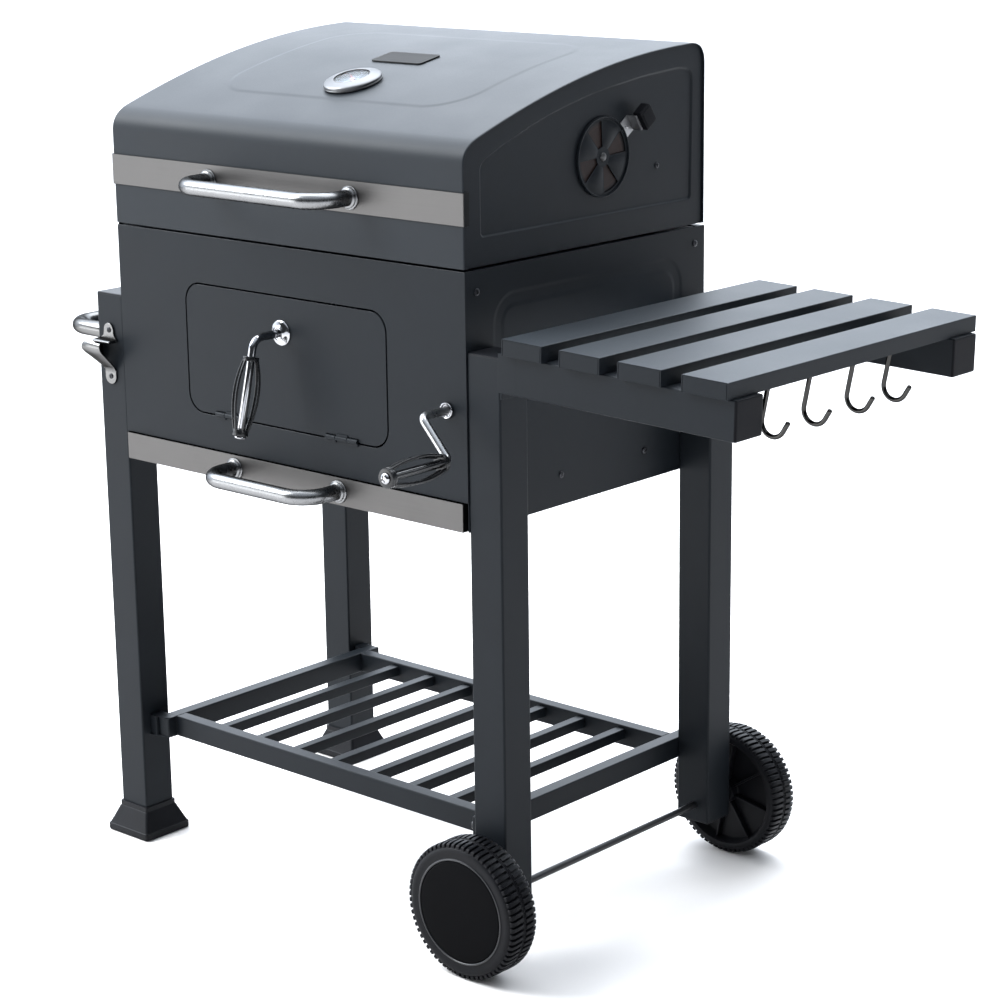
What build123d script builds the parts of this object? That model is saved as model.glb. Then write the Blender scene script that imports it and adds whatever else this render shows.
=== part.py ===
from build123d import *
import math
import os

# Charcoal grill cart: a folded-sheet firebox with a hinged lid, carried on four
# square legs, two of them on wheels.  Millimetres, +Z up, floor at Z = 0.
# The pieces are laid out about the firebox centre (X to the right, front at -Y)
# and moved by SHIFT at the end so that the origin is the middle of the footprint.

# ---------------------------------------------------------------- dimensions
SHEET = 1.5            # folded sheet thickness
HW = 302.0             # half width of the firebox, outside
HD = 224.0             # half depth of the firebox, outside
Z_SIDE_BOT = 534.0     # lower edge of the side panels
Z_FRONT_BOT = 569.5    # lower edge of the front panel (the ash drawer is below it)
Z_BODY_TOP = 841.0
# legs
LEG_X, LEG_Y = 50.0, 48.0
LEG_WALL = 1.5
LEG_OUT_Y = 222.0      # outer Y face of the legs
Z_LEG_TOP = 746.0
CAP_T = 2.5
Z_LEG_LEFT = 3.0       # left legs stand in the plastic feet
Z_LEG_RIGHT = 65.0     # right legs stop above the floor
# wheels
AX_X, AX_R = 330.0, 4.5
WH_R = 85.0
AX_Z = WH_R
WH_OUT, WH_IN = 282.0, 235.5
BORE_R = 4.57
# bottom shelf
SH_TOP, SH_H = 172.0, 28.0
SH_XL, SH_XR = -289.0, 302.0
SH_W = 19.0
SH_YF, SH_YR = -189.5, 183.5
BAR_W, BAR_H, BAR_DROP, BAR_N = 14.0, 14.0, 4.0, 7
# door
DOOR_X0, DOOR_X1, DOOR_Z0, DOOR_Z1, DOOR_R = -174.0, 174.0, 616.0, 779.0, 24.0
DOOR_GAP = 2.5
DOOR_D = 5.0            # depth of the door's turned edge
DP_Y, DP_Z = -225.0, 616.8      # door hinge line
LUG_X = 98.0
DH_X, DH_Z = -3.0, 735.0        # door handle spindle
DH_END_Y, DH_END_Z = -298.0, 619.0
# crank and lift
CR_X, CR_Z, CR_R = 272.0, 677.0, 5.0
CR_ARM = 42.0
CR_DROP = 46.0
CR_Y_ARM = -268.0
CR_Y_END = -372.0
MOD, N_T = 2.5, 12
PITCH_R = MOD * N_T / 2
RACK_Y = 150.0
LIFT = 70.0
# charcoal tray
TR_X, TR_Y, TR_Z0, TR_Z1 = 244.0, 195.0, 578.0, 640.0
# ash drawer
DR_X, DR_Z0, DR_Z1 = 287.0, 536.5, 562.0
DR_Y0, DR_Y1 = -226.0, 205.0
BAND_LO0, BAND_LO1, BAND_LO_X = 534.0, 568.5, 296.5
# lid
LID_Z0 = 844.0
BAND_UP0, BAND_UP1 = 893.0, 932.0
LH_X, LH_Z, LH_R, LH_OUT = 122.5, 911.5, 9.75, 290.0
DHX, DHZ, DHR, DHOUT = 92.0, 551.0, 9.75, 293.0
LIDP_Y, LIDP_Z = 231.0, 843.0
VENT_Y, VENT_Z, VENT_R = 27.5, 946.5, 48.5
VENT_A0 = 67.0          # direction of the first of the four vent openings
TH_Y, TH_R = -91.0, 37.0
PLATE_Y = 3.0
# side table
TB_PX, TB_PZ = 366.0, 721.0     # fold pivot
TB_TILT = 1.56                  # the level table droops a little outwards
RAIL_Z0, RAIL_Z1 = 711.0, 757.0
RAIL_X0, RAIL_X1 = 360.0, 692.0
RAIL_YO, RAIL_YI = 235.0, 187.0
SLATS = [(371.8, 430.9), (456.0, 514.1), (538.9, 599.3), (626.3, 688.2)]
SLAT_HY, SLAT_T = 242.5, 19.5
HOOK_Y = [-154.0, -76.0, 7.0, 81.0]
HOOK_RX, HOOK_RZ = 677.5, 765.0
HOOK_WIRE, HOOK_EYE, HOOK_J = 2.9, 5.25, 15.3
HOOK_LEN = 46.0
HOOK_SWEEP, HOOK_TAIL = 160.0, 11.946
# side handle
SHD_Y, SHD_Z, SHD_R, SHD_OUT = 206.0, 693.0, 10.5, 440.5

X_MIN, X_MAX = -440.5, 706.536
Y_MIN, Y_MAX = -376.0, 282.0
SHIFT = Location((-(X_MIN + X_MAX) / 2, -(Y_MIN + Y_MAX) / 2, 0))

os.makedirs("parts", exist_ok=True)


# ------------------------------------------------------------------- helpers
def bx(x0, x1, y0, y1, z0, z1):
    return Pos((x0 + x1) / 2, (y0 + y1) / 2, (z0 + z1) / 2) * Box(abs(x1 - x0), abs(y1 - y0), abs(z1 - z0))


def cyl_y(x, z, r, y0, y1):
    return Pos(x, (y0 + y1) / 2, z) * Rot(90, 0, 0) * Cylinder(r, abs(y1 - y0))


def cyl_x(y, z, r, x0, x1):
    return Pos((x0 + x1) / 2, y, z) * Rot(0, 90, 0) * Cylinder(r, abs(x1 - x0))


def cyl_z(x, y, r, z0, z1):
    return Pos(x, y, (z0 + z1) / 2) * Cylinder(r, abs(z1 - z0))


def rbox_z(x0, x1, y0, y1, z0, z1, r):
    return Pos((x0 + x1) / 2, (y0 + y1) / 2, z0) * extrude(RectangleRounded(x1 - x0, y1 - y0, r), z1 - z0)


def rbox_y(x0, x1, z0, z1, y0, y1, r):
    """Rounded rectangle in XZ, from y0 (front) to y1."""
    pl = Plane(origin=((x0 + x1) / 2, y0, (z0 + z1) / 2), x_dir=(1, 0, 0), z_dir=(0, 1, 0))
    return pl * extrude(RectangleRounded(x1 - x0, z1 - z0, r), y1 - y0)


def poly_x(pts, x0, x1):
    """Polygon of (y, z) points run along X."""
    pl = Plane(origin=(x0, 0, 0), x_dir=(0, 1, 0), z_dir=(1, 0, 0))
    return pl * extrude(make_face(Polyline(*[(p[0], p[1]) for p in pts], close=True)), x1 - x0)


def poly_y(pts, y0, y1):
    """Polygon of (x, z) points run along Y."""
    pl = Plane(origin=(0, y1, 0), x_dir=(1, 0, 0), z_dir=(0, -1, 0))
    return pl * extrude(make_face(Polyline(*[(p[0], p[1]) for p in pts], close=True)), y1 - y0)


def rod(pts, radii, r, wall=0):
    """Round bar or tube along a filleted polyline."""
    path = FilletPolyline(*pts, radius=radii) if len(pts) > 2 else Line(*pts)
    d = Vector(*pts[1]) - Vector(*pts[0])
    pl = Plane(origin=pts[0], z_dir=d)
    sec = Circle(r) if not wall else Circle(r) - Circle(r - wall)
    return sweep(pl * sec, path=path)


def solids_of(items):
    out = []
    for it in items:
        out += list(it.solids())
    return out


NODES = []
BOX = []


def save(name, *items):
    sol = [s.moved(SHIFT) for s in solids_of(items)]
    shape = sol[0] if len(sol) == 1 else Compound(children=sol)
    export_step(shape, "parts/%s.step" % name)
    NODES.append(name)
    b = shape.bounding_box()
    BOX.append((b.min.X, b.min.Y, b.min.Z, b.max.X, b.max.Y, b.max.Z))


# ------------------------------------------------------------- legs and feet
def leg_tube(sx, sy, z0):
    xa, xb = (HW, HW + LEG_X) if sx > 0 else (-HW - LEG_X, -HW)
    ya, yb = (LEG_OUT_Y - LEG_Y, LEG_OUT_Y) if sy > 0 else (-LEG_OUT_Y, -LEG_OUT_Y + LEG_Y)
    t = rbox_z(xa, xb, ya, yb, z0, Z_LEG_TOP, 3.5)
    t -= rbox_z(xa + LEG_WALL, xb - LEG_WALL, ya + LEG_WALL, yb - LEG_WALL, z0 - 1, Z_LEG_TOP + 1, 2.0)
    return t, (xa, xb, ya, yb)


RUN_Y, RUN_Z = (-57.0, 103.0), 572.0
LEG_BOLT_Z = (600.0, 722.0)
LEG_BOLT_Y = 198.0
SHELF_BOLT_Z = 158.0


def leg_holes(t, sx, sy):
    yb = LEG_BOLT_Y * sy
    for z in LEG_BOLT_Z:
        t -= cyl_x(yb, z, 3.05, sx * (HW - 4), sx * (HW + 6))
    t -= cyl_x((-197.0 if sy < 0 else 193.0), SHELF_BOLT_Z, 3.05, sx * (HW - 4), sx * (HW + 6))
    return t


legs = {}
for sx in (-1, 1):
    for sy in (-1, 1):
        t, ext = leg_tube(sx, sy, Z_LEG_LEFT if sx < 0 else Z_LEG_RIGHT)
        t = leg_holes(t, sx, sy)
        if sx > 0:
            t -= cyl_y(AX_X, AX_Z, AX_R + 0.05, -300, 300)
        legs[(sx, sy)] = (t, ext)

# bottle-opener screw holes in the front face of the front left leg
OP_X = -327.5
OP_Z = (700.0, 638.5)
lfl = legs[(-1, -1)][0]
for z in OP_Z:
    lfl -= cyl_y(OP_X, z, 2.0, -LEG_OUT_Y - 1, -LEG_OUT_Y + 6)
legs[(-1, -1)] = (lfl, legs[(-1, -1)][1])
# side-handle screw holes in the outer faces of the left legs
for sy in (-1, 1):
    t, e = legs[(-1, sy)]
    t -= cyl_x(sy * SHD_Y, SHD_Z, 3.0, -HW - LEG_X - 1, -HW - LEG_X + 5)
    legs[(-1, sy)] = (t, e)
save("legs_left", legs[(-1, -1)][0], legs[(-1, 1)][0])
save("legs_right", legs[(1, -1)][0], legs[(1, 1)][0])

caps = []
for (sx, sy), (t, (xa, xb, ya, yb)) in legs.items():
    c = rbox_z(xa, xb, ya, yb, Z_LEG_TOP, Z_LEG_TOP + CAP_T, 3.5)
    c += rbox_z(xa + 1.6, xb - 1.6, ya + 1.6, yb - 1.6, Z_LEG_TOP - 10, Z_LEG_TOP, 1.9)
    caps.append(c)
    if sx > 0:
        p = rbox_z(xa, xb, ya, yb, Z_LEG_RIGHT - CAP_T, Z_LEG_RIGHT, 3.5)
        p += rbox_z(xa + 1.6, xb - 1.6, ya + 1.6, yb - 1.6, Z_LEG_RIGHT, Z_LEG_RIGHT + 8, 1.9)
        caps.append(p)
save("leg_caps", *caps)

feet = []
for sy in (-1, 1):
    xa, xb, ya, yb = legs[(-1, sy)][1]
    cx, cy = (xa + xb) / 2, (ya + yb) / 2
    f = Pos(cx, cy, 0) * extrude(RectangleRounded(80, 78, 5), 10)
    f += loft([Pos(cx, cy, 10) * RectangleRounded(78, 76, 5), Pos(cx, cy, 35) * RectangleRounded(55, 53, 4)])
    f += Pos(cx, cy, 35) * extrude(RectangleRounded(54.6, 52.6, 4), 7)
    f -= rbox_z(xa, xb, ya, yb, Z_LEG_LEFT, 60, 3.5)
    feet.append(f)
save("feet", *feet)

# --------------------------------------------------------------- bottom shelf
def tube_y(x0, x1, y0, y1, z0, z1, w=1.2):
    return bx(x0, x1, y0, y1, z0, z1) - bx(x0 + w, x1 - w, y0 - 1, y1 + 1, z0 + w, z1 - w)


def tube_x(x0, x1, y0, y1, z0, z1, w=1.2):
    return bx(x0, x1, y0, y1, z0, z1) - bx(x0 - 1, x1 + 1, y0 + w, y1 - w, z0 + w, z1 - w)


sz0 = SH_TOP - SH_H
rail_l = tube_y(SH_XL, SH_XL + SH_W, -205, 203, sz0, SH_TOP)
rail_r = tube_y(SH_XR - SH_W, SH_XR, -205, 203, sz0, SH_TOP)
for yb in (-197.0, 193.0):
    rail_l -= cyl_x(yb, SHELF_BOLT_Z, 3.05, SH_XL - 1, SH_XL + 3)
    rail_r -= cyl_x(yb, SHELF_BOLT_Z, 3.05, SH_XR - SH_W - 1, SH_XR + 1)
rail_f = tube_x(SH_XL + SH_W, SH_XR - SH_W, SH_YF, SH_YF + SH_W - 0.5, sz0, SH_TOP)
rail_b = tube_x(SH_XL + SH_W, SH_XR - SH_W, SH_YR - SH_W + 0.5, SH_YR, sz0, SH_TOP)
brk = []
for y0, y1, yb in ((-209, -187, -197.0), (183, 205, 193.0)):
    b = bx(-HW, SH_XL, y0, y1, sz0, SH_TOP) - bx(-HW + 1.5, SH_XL - 1.5, y0 - 1, y1 + 1, sz0 + 1.5, SH_TOP - 1.5)
    b -= cyl_x(yb, SHELF_BOLT_Z, 3.05, -HW - 1, SH_XL + 1)
    brk.append(b)
save("shelf_frame", rail_l, rail_r, rail_f, rail_b, *brk)

bars = []
xi0, xi1 = SH_XL + SH_W, SH_XR - SH_W
yi0, yi1 = SH_YF + SH_W - 0.5, SH_YR - SH_W + 0.5
for i in range(BAR_N):
    xc = xi0 + (xi1 - xi0) * (i + 1) / (BAR_N + 1)
    bars.append(tube_y(xc - BAR_W / 2, xc + BAR_W / 2, yi0, yi1, SH_TOP - BAR_DROP - BAR_H, SH_TOP - BAR_DROP, 1.0))
save("shelf_bars", *bars)

# ---------------------------------------------------------------------- axle
axle = cyl_y(AX_X, AX_Z, AX_R, -275.0, 275.0)
ax_bits = [axle]
for s in (-1, 1):
    sp = cyl_y(AX_X, AX_Z, 9.0, s * 222.0, s * 235.2) - cyl_y(AX_X, AX_Z, AX_R, s * 221.0, s * 236.0)
    ax_bits.append(sp)
    nut = Pos(AX_X, s * 271.5, AX_Z) * Rot(90, 0, 0) * extrude(RegularPolygon(7.5, 6, major_radius=False), 3, both=True)
    nut -= cyl_y(AX_X, AX_Z, AX_R, s * 260, s * 280)
    ax_bits.append(nut)
save("axle", *ax_bits)


def wheel(s):
    pts = [(16, 235.5), (16, 256), (70, 256), (70, 240), (80, 235.5), (85, 240), (85, 277), (80, 282), (63, 282), (63, 279),
           (58, 279), (58, 262), (16, 262), (16, 268), (BORE_R, 268), (BORE_R, 235.5)]
    pl = Plane(origin=(0, 0, 0), x_dir=(1, 0, 0), z_dir=(0, 0, 1))
    w = revolve(pl * make_face(Polyline(*pts, close=True)), axis=Axis.Y)
    for k in range(8):
        rib = Pos(43, 248, 0) * Box(54.6, 16, 3)
        w += Rot(0, k * 45, 0) * rib
    cap = Pos(0, 280.3, 0) * Rot(90, 0, 0) * Cylinder(62.8, 2.4)
    if s < 0:
        w = mirror(w, about=Plane.XZ)
        cap = mirror(cap, about=Plane.XZ)
    return Pos(AX_X, 0, AX_Z) * w, Pos(AX_X, 0, AX_Z) * cap


save("front_wheel", *wheel(-1))
save("rear_wheel", *wheel(1))

# ------------------------------------------------------------------- firebox
FL = 20.0   # flange depth
fp = bx(-HW, HW, -HD, -HD + SHEET, Z_FRONT_BOT, Z_BODY_TOP)
fp -= rbox_y(DOOR_X0 - DOOR_GAP, DOOR_X1 + DOOR_GAP, DOOR_Z0 - DOOR_GAP, DOOR_Z1 + DOOR_GAP, -HD - 1, -HD + 4, DOOR_R + 2)
for s in (-1, 1):
    fp += bx(s * (HW - 2 * SHEET), s * (HW - SHEET), -HD + SHEET - 0.5, -HD + FL, Z_FRONT_BOT, Z_BODY_TOP)
    for a, b in ((10.2, 27.0), (-27.0, -10.2)):
        xa, xb = s * LUG_X + a, s * LUG_X + b
        fp += cyl_x(DP_Y, DP_Z, 3.0, xa, xb)
        fp += bx(xa, xb, -HD - 1.0, -HD + SHEET, DOOR_Z0 - DOOR_GAP - 3, DP_Z)
fp += bx(-HW + 2 * SHEET, HW - 2 * SHEET, -HD + SHEET - 0.5, -HD + 12, Z_BODY_TOP - SHEET, Z_BODY_TOP)
for s in (-1, 1):
    fp -= cyl_x(DP_Y, DP_Z, 1.5, s * LUG_X - 27.5, s * LUG_X + 27.5)
fp -= cyl_y(CR_X, CR_Z, 8.0, -HD - 1, -HD + 3)
for s in (-1, 1):
    fp -= cyl_x(-204.0, 816.0, 2.0, s * (HW - 4), s * (HW + 1))
    fp -= cyl_x(-204.0, 640.0, 2.0, s * (HW - 4), s * (HW + 1))
save("front_panel", fp)

rp = bx(-HW, HW, HD - SHEET, HD, Z_SIDE_BOT, Z_BODY_TOP)
for s in (-1, 1):
    rp += bx(s * (HW - 2 * SHEET), s * (HW - SHEET), HD - FL, HD - SHEET + 0.5, Z_SIDE_BOT, Z_BODY_TOP)
rp += bx(-HW + 2 * SHEET, HW - 2 * SHEET, HD - 12, HD - SHEET + 0.5, Z_BODY_TOP - SHEET, Z_BODY_TOP)
rp -= cyl_y(CR_X, CR_Z, 8.0, HD - 3, HD + 1)
for s in (-1, 1):
    rp -= cyl_x(204.0, 820.0, 2.0, s * (HW - 4), s * (HW + 1))
    rp -= cyl_x(204.0, 640.0, 2.0, s * (HW - 4), s * (HW + 1))
save("rear_panel", rp)

panels = []
for s in (-1, 1):
    p = bx(s * (HW - SHEET), s * HW, -HD + SHEET, HD - SHEET, Z_SIDE_BOT, Z_BODY_TOP)
    p += bx(s * (HW - 14), s * (HW - SHEET + 0.5), -HD + FL, HD - FL, Z_BODY_TOP - SHEET, Z_BODY_TOP)
    for sy in (-1, 1):
        for z in LEG_BOLT_Z:
            p -= cyl_x(sy * LEG_BOLT_Y, z, 3.05, s * (HW - 5), s * (HW + 1))
    for y, z in ((-204.0, 816.0), (-204.0, 640.0), (204.0, 820.0), (204.0, 640.0)):
        p -= cyl_x(y, z, 2.0, s * (HW - 5), s * (HW + 1))
    for y in RUN_Y:
        p -= cyl_x(y, RUN_Z, 2.0, s * (HW - 5), s * (HW + 1))
    panels.append(p)
save("side_panels", *panels)

screws = []


def pan_screw_x(y, z, s, depth):
    h = cyl_x(y, z, 4.2, s * HW, s * (HW + 1.6))
    h += cyl_x(y, z, 2.0, s * (HW - depth), s * (HW + 0.5))
    return h


for s in (-1, 1):
    for y, z in ((-204.0, 816.0), (-204.0, 640.0), (204.0, 820.0), (204.0, 640.0)):
        if abs(y) > 170 and z < 748:
            # these two sit behind the legs, driven from inside
            h = cyl_x(y, z, 2.0, s * (HW - 3), s * HW) + cyl_x(y, z, 4.2, s * (HW - 3) - s * 1.6, s * (HW - 3))
        else:
            h = pan_screw_x(y, z, s, 6)
        screws.append(h)
    for y in RUN_Y:
        screws.append(pan_screw_x(y, RUN_Z, s, 4))

bolts = []
for s in (-1, 1):
    for sy in (-1, 1):
        for z in LEG_BOLT_Z:
            b = cyl_x(sy * LEG_BOLT_Y, z, 3.05, s * (HW - SHEET), s * (HW + 5))
            hx = Pos(s * (HW - SHEET - 2.0), sy * LEG_BOLT_Y, z) * Rot(0, 90, 0) * extrude(RegularPolygon(5, 6, major_radius=False), 2, both=True)
            bolts.append(b + hx)
for sy, yb in ((-1, -197.0), (1, 193.0)):
    bolts.append(cyl_x(yb, SHELF_BOLT_Z, 3.05, -HW - 4, SH_XL + 1.2) + cyl_x(yb, SHELF_BOLT_Z, 5.5, SH_XL + 1.2, SH_XL + 5))
    bolts.append(cyl_x(yb, SHELF_BOLT_Z, 3.05, SH_XR - SH_W, HW + 4) + cyl_x(yb, SHELF_BOLT_Z, 6.0, SH_XR - SH_W - 4, SH_XR - SH_W))
save("frame_bolts", *bolts)

# runners for the ash drawer, fixed to the side panels
run = []
for s in (-1, 1):
    r = bx(s * (HW - SHEET - 1.5), s * (HW - SHEET), -200, 200, 534.5, 552)
    r += bx(s * 282.0, s * (HW - SHEET), -200, 200, 534.5, 536.0)
    for y in RUN_Y:
        r += bx(s * (HW - SHEET - 1.5), s * (HW - SHEET), y - 11, y + 11, 551, RUN_Z + 9)
        r -= cyl_x(y, RUN_Z, 2.0, s * (HW - 6), s * HW)
    run.append(r)
save("drawer_runners", *run)

led = []
for s in (-1, 1):
    l = bx(s * (HW - SHEET - 1.5), s * (HW - SHEET), -198, 198, 796, 810)
    l += bx(s * 280.0, s * (HW - SHEET), -198, 198, 808.5, 810)
    led.append(l)
save("grate_ledges", *led)


def grate(x0, x1):
    z0, z1 = 810.0, 818.0
    g = bx(x0, x1, -203, 203, z0, z1) - bx(x0 + 8, x1 - 8, -195, 195, z0 - 1, z1 + 1)
    n = 17
    for i in range(n):
        xc = x0 + 8 + (x1 - x0 - 16) * (i + 1) / (n + 1)
        g += bx(xc - 2.5, xc + 2.5, -196, 196, z0 + 1, z1)
    g += bx(x0 + 4, x1 - 4, -4, 4, z0, z1 - 2)
    return g


save("cooking_grates", grate(-286, -1.5), grate(1.5, 286))

# vertical guides for the charcoal tray, in pairs beside each rack or slide bar
gd = []
for s in (-1, 1):
    for y in (-RACK_Y, RACK_Y):
        for a in (-1, 1):
            gd.append(bx(s * 291.0, s * (HW - SHEET), y + a * 4.4, y + a * 8.4, 572, 775))
save("tray_guides", *gd)

bushes = []
b = cyl_y(CR_X, CR_Z, 10.0, -228.0, -HD) + cyl_y(CR_X, CR_Z, 8.0, -HD, -214.0)
b -= cyl_y(CR_X, CR_Z, CR_R + 0.06, -240, -200)
bushes.append(b)
b = cyl_y(CR_X, CR_Z, 11.0, HD, HD + 2.5) + cyl_y(CR_X, CR_Z, 8.0, 212.0, HD)
b -= cyl_y(CR_X, CR_Z, CR_R + 0.06, 200, HD + 0.5)
bushes.append(b)
save("crank_bushes", *bushes)

# --------------------------------------------------------------- side handle
hx = -HW - LEG_X
cx = -(SHD_OUT - SHD_R)
sh = rod([(hx, -SHD_Y, SHD_Z), (cx, -SHD_Y, SHD_Z), (cx, SHD_Y, SHD_Z), (hx, SHD_Y, SHD_Z)], 34.0, SHD_R, 1.5)
hs = []
for s in (-1, 1):
    # threaded insert that takes the screw from inside the leg
    ins = cyl_x(s * SHD_Y, SHD_Z, SHD_R - 1.5, hx - 12, hx) + cyl_x(s * SHD_Y, SHD_Z, 3.0, hx, hx + 1.5)
    ins += cyl_x(s * SHD_Y, SHD_Z, 6.0, hx + 1.5, hx + 5.5)
    hs.append(ins)
save("side_handle", sh, *hs)

# ------------------------------------------------------------- bottle opener
yf = -LEG_OUT_Y
xh0, xh1 = OP_X - 19.0, OP_X + 14.0
# upper ear, widening down to the tooth
op = cyl_y(OP_X - 1.5, OP_Z[0], 9.0, yf - 2.5, yf)
op += poly_y([(OP_X - 10.5, OP_Z[0]), (OP_X + 7.5, OP_Z[0]), (xh1 - 1, 687.0), (xh0 + 1, 687.0)], yf - 2.5, yf)
op += poly_x([(yf, 688.5), (yf - 15.0, 687.5), (yf - 16.5, 686.2), (yf - 15.0, 684.8), (yf, 685.2)], xh0, xh1)
# lower ear and the strap that rises outwards from it to the lip
low = cyl_y(OP_X - 1.0, OP_Z[1], 10.5, yf - 2.5, yf)
strap = poly_x([(yf, OP_Z[1]), (yf - 2.5, OP_Z[1]), (yf - 2.5, 648.0), (yf - 32.0, 677.5), (yf - 33.0, 680.0), (yf - 32.5, 686.0),
                (yf - 30.2, 686.2), (yf - 30.0, 680.8), (yf, 651.0)], xh0 - 3, xh1 + 2)
strap &= poly_y([(OP_X - 11.5, OP_Z[1]), (OP_X + 9.5, OP_Z[1]), (OP_X + 9.5, 646.0), (xh1 + 1.0, 676.0), (xh1 + 1.0, 690.0), (xh0 - 2.0, 690.0), (xh0 - 2.0, 676.0),
                 (OP_X - 11.5, 646.0)], yf - 40, yf + 1)
low += strap
op += low
# a side web on the far side ties the strap to the tooth; the near side is open
op += poly_x([(yf, 651.0), (yf - 14.0, 664.5), (yf - 14.0, 686.0), (yf, 686.0)], xh0, xh0 + 2.2)
for z in OP_Z:
    op -= cyl_y(OP_X, z, 2.0, yf - 5, yf + 1)
osc = []
for z in OP_Z:
    osc.append(cyl_y(OP_X, z, 2.0, yf - 2.5, yf + 5) + cyl_y(OP_X, z, 4.0, yf - 4.2, yf - 2.5))
save("bottle_opener", op)
save("body_screws", *screws, *osc)


# ----------------------------------------------------------------------- lid
def bez(t):
    a1, a2 = math.radians(19.5), math.radians(1.5)
    p0, p3 = (-199.0, 991.6), (195.0, 1069.4)
    p1 = (p0[0] + 155 * math.cos(a1), p0[1] + 155 * math.sin(a1))
    p2 = (p3[0] - 130 * math.cos(a2), p3[1] - 130 * math.sin(a2))
    u = 1 - t
    return tuple(u ** 3 * p0[k] + 3 * u * u * t * p1[k] + 3 * u * t * t * p2[k] + t ** 3 * p3[k] for k in (0, 1))


def lid_line():
    """Outer lid profile from the front lower edge over the top to the rear lower edge."""
    pts = [(-224.0, LID_Z0), (-224.0, 966.0)]
    a1 = math.radians(19.5)
    # front bend from straight up to the slope of the top, a quadratic corner
    c = (-224.0, 982.6)
    e = (-199.0, 991.6)
    s = (-224.0, 966.0)
    for k in range(1, 9):
        t = k / 9
        pts.append(tuple((1 - t) ** 2 * s[i] + 2 * t * (1 - t) * c[i] + t * t * e[i] for i in (0, 1)))
    for k in range(0, 25):
        pts.append(bez(k / 24))
    s, c, e = (195.0, 1069.4), (223.0, 1070.1), (223.0, 1043.0)
    for k in range(1, 10):
        t = k / 9
        pts.append(tuple((1 - t) ** 2 * s[i] + 2 * t * (1 - t) * c[i] + t * t * e[i] for i in (0, 1)))
    pts.append((223.0, LID_Z0))
    return pts


def inset(pts, d):
    out = []
    n = len(pts)
    for i, p in enumerate(pts):
        a = pts[max(i - 1, 0)]
        b = pts[min(i + 1, n - 1)]
        if i == 0:
            a = p
        if i == n - 1:
            b = p
        tx, ty = b[0] - a[0], b[1] - a[1]
        L = math.hypot(tx, ty)
        nx, ny = ty / L, -tx / L
        out.append((p[0] + nx * d, p[1] + ny * d))
    out[0] = (out[0][0], pts[0][1])
    out[-1] = (out[-1][0], pts[-1][1])
    return out


def z_of(y):
    pts = lid_line()
    for a, b in zip(pts[:-1], pts[1:]):
        if a[0] <= y <= b[0] and b[0] > a[0] + 0.01:
            f = (y - a[0]) / (b[0] - a[0])
            return a[1] + f * (b[1] - a[1]), math.degrees(math.atan2(b[1] - a[1], b[0] - a[0]))


outer = lid_line()
inner = inset(outer, SHEET)
shell = poly_x(outer + inner[::-1], -HW, HW)
tz, tslope = z_of(TH_Y)
shell -= Pos(0, TH_Y, tz) * Rot(tslope, 0, 0) * Cylinder(3.5, 40)
for s in (-1, 1):
    shell -= cyl_y(s * LH_X, LH_Z, 3.0, -230, -215)
save("lid_shell", shell)

END_X = HW - 3.0


def vent_slot(a0, r0, r1, half=19.0):
    arc = [(r1 * math.cos(math.radians(a0 + d)), r1 * math.sin(math.radians(a0 + d))) for d in (-half, -half / 2, 0, half / 2, half)]
    arc += [(r0 * math.cos(math.radians(a0 + d)), r0 * math.sin(math.radians(a0 + d))) for d in (half, 0, -half)]
    return extrude(make_face(Polyline(*arc, close=True)), 10, both=True)


ends = []
for s in (-1, 1):
    ring = inset(outer, SHEET)
    e = poly_x(ring, s * END_X - (SHEET if s > 0 else 0), s * END_X + (0 if s > 0 else SHEET))
    if s > 0:
        for k in range(4):
            e -= Plane(origin=(END_X, VENT_Y, VENT_Z), x_dir=(0, 1, 0), z_dir=(1, 0, 0)) * vent_slot(VENT_A0 + 90 * k, 13.0, 41.0)
        e -= cyl_x(VENT_Y, VENT_Z, 3.0, END_X - 5, END_X + 2)
    for y, z in ((133.0, 925.0), (-190.0, 860.0)):
        e -= cyl_x(y, z, 2.0, s * (END_X - 4), s * (END_X + 1))
    ends.append(e)
save("lid_ends", *ends)

band = bx(-HW - 1.2, HW + 1.2, -HD - 1.5, -HD, BAND_UP0, BAND_UP1)
for s in (-1, 1):
    band += bx(s * HW, s * (HW + 1.2), -HD - 1.5, -HD + 9.0, BAND_UP0, BAND_UP1)
for s in (-1, 1):
    band -= cyl_y(s * LH_X, LH_Z, 3.0, -230, -215)
save("lid_band", band)


def u_handle(hxp, z, r, face_y, out_y, bend, screw_to):
    cy = -(out_y - r)
    bar = rod([(-hxp, face_y, z), (-hxp, cy, z), (hxp, cy, z), (hxp, face_y, z)], bend, r, 1.5)
    bits = [bar]
    for s in (-1, 1):
        c = cyl_y(s * hxp, z, r + 4.2, face_y - 6.0, face_y) - cyl_y(s * hxp, z, r, face_y - 10, face_y + 1)
        bits.append(c)
        ins = cyl_y(s * hxp, z, r - 1.5, face_y - 12, face_y) + cyl_y(s * hxp, z, 3.0, face_y, screw_to)
        ins += cyl_y(s * hxp, z, 6.0, screw_to, screw_to + 3.5)
        bits.append(ins)
    return bits


save("lid_handle", *u_handle(LH_X, LH_Z, LH_R, -HD - 1.5, LH_OUT, 34.0, -HD + SHEET))

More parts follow.
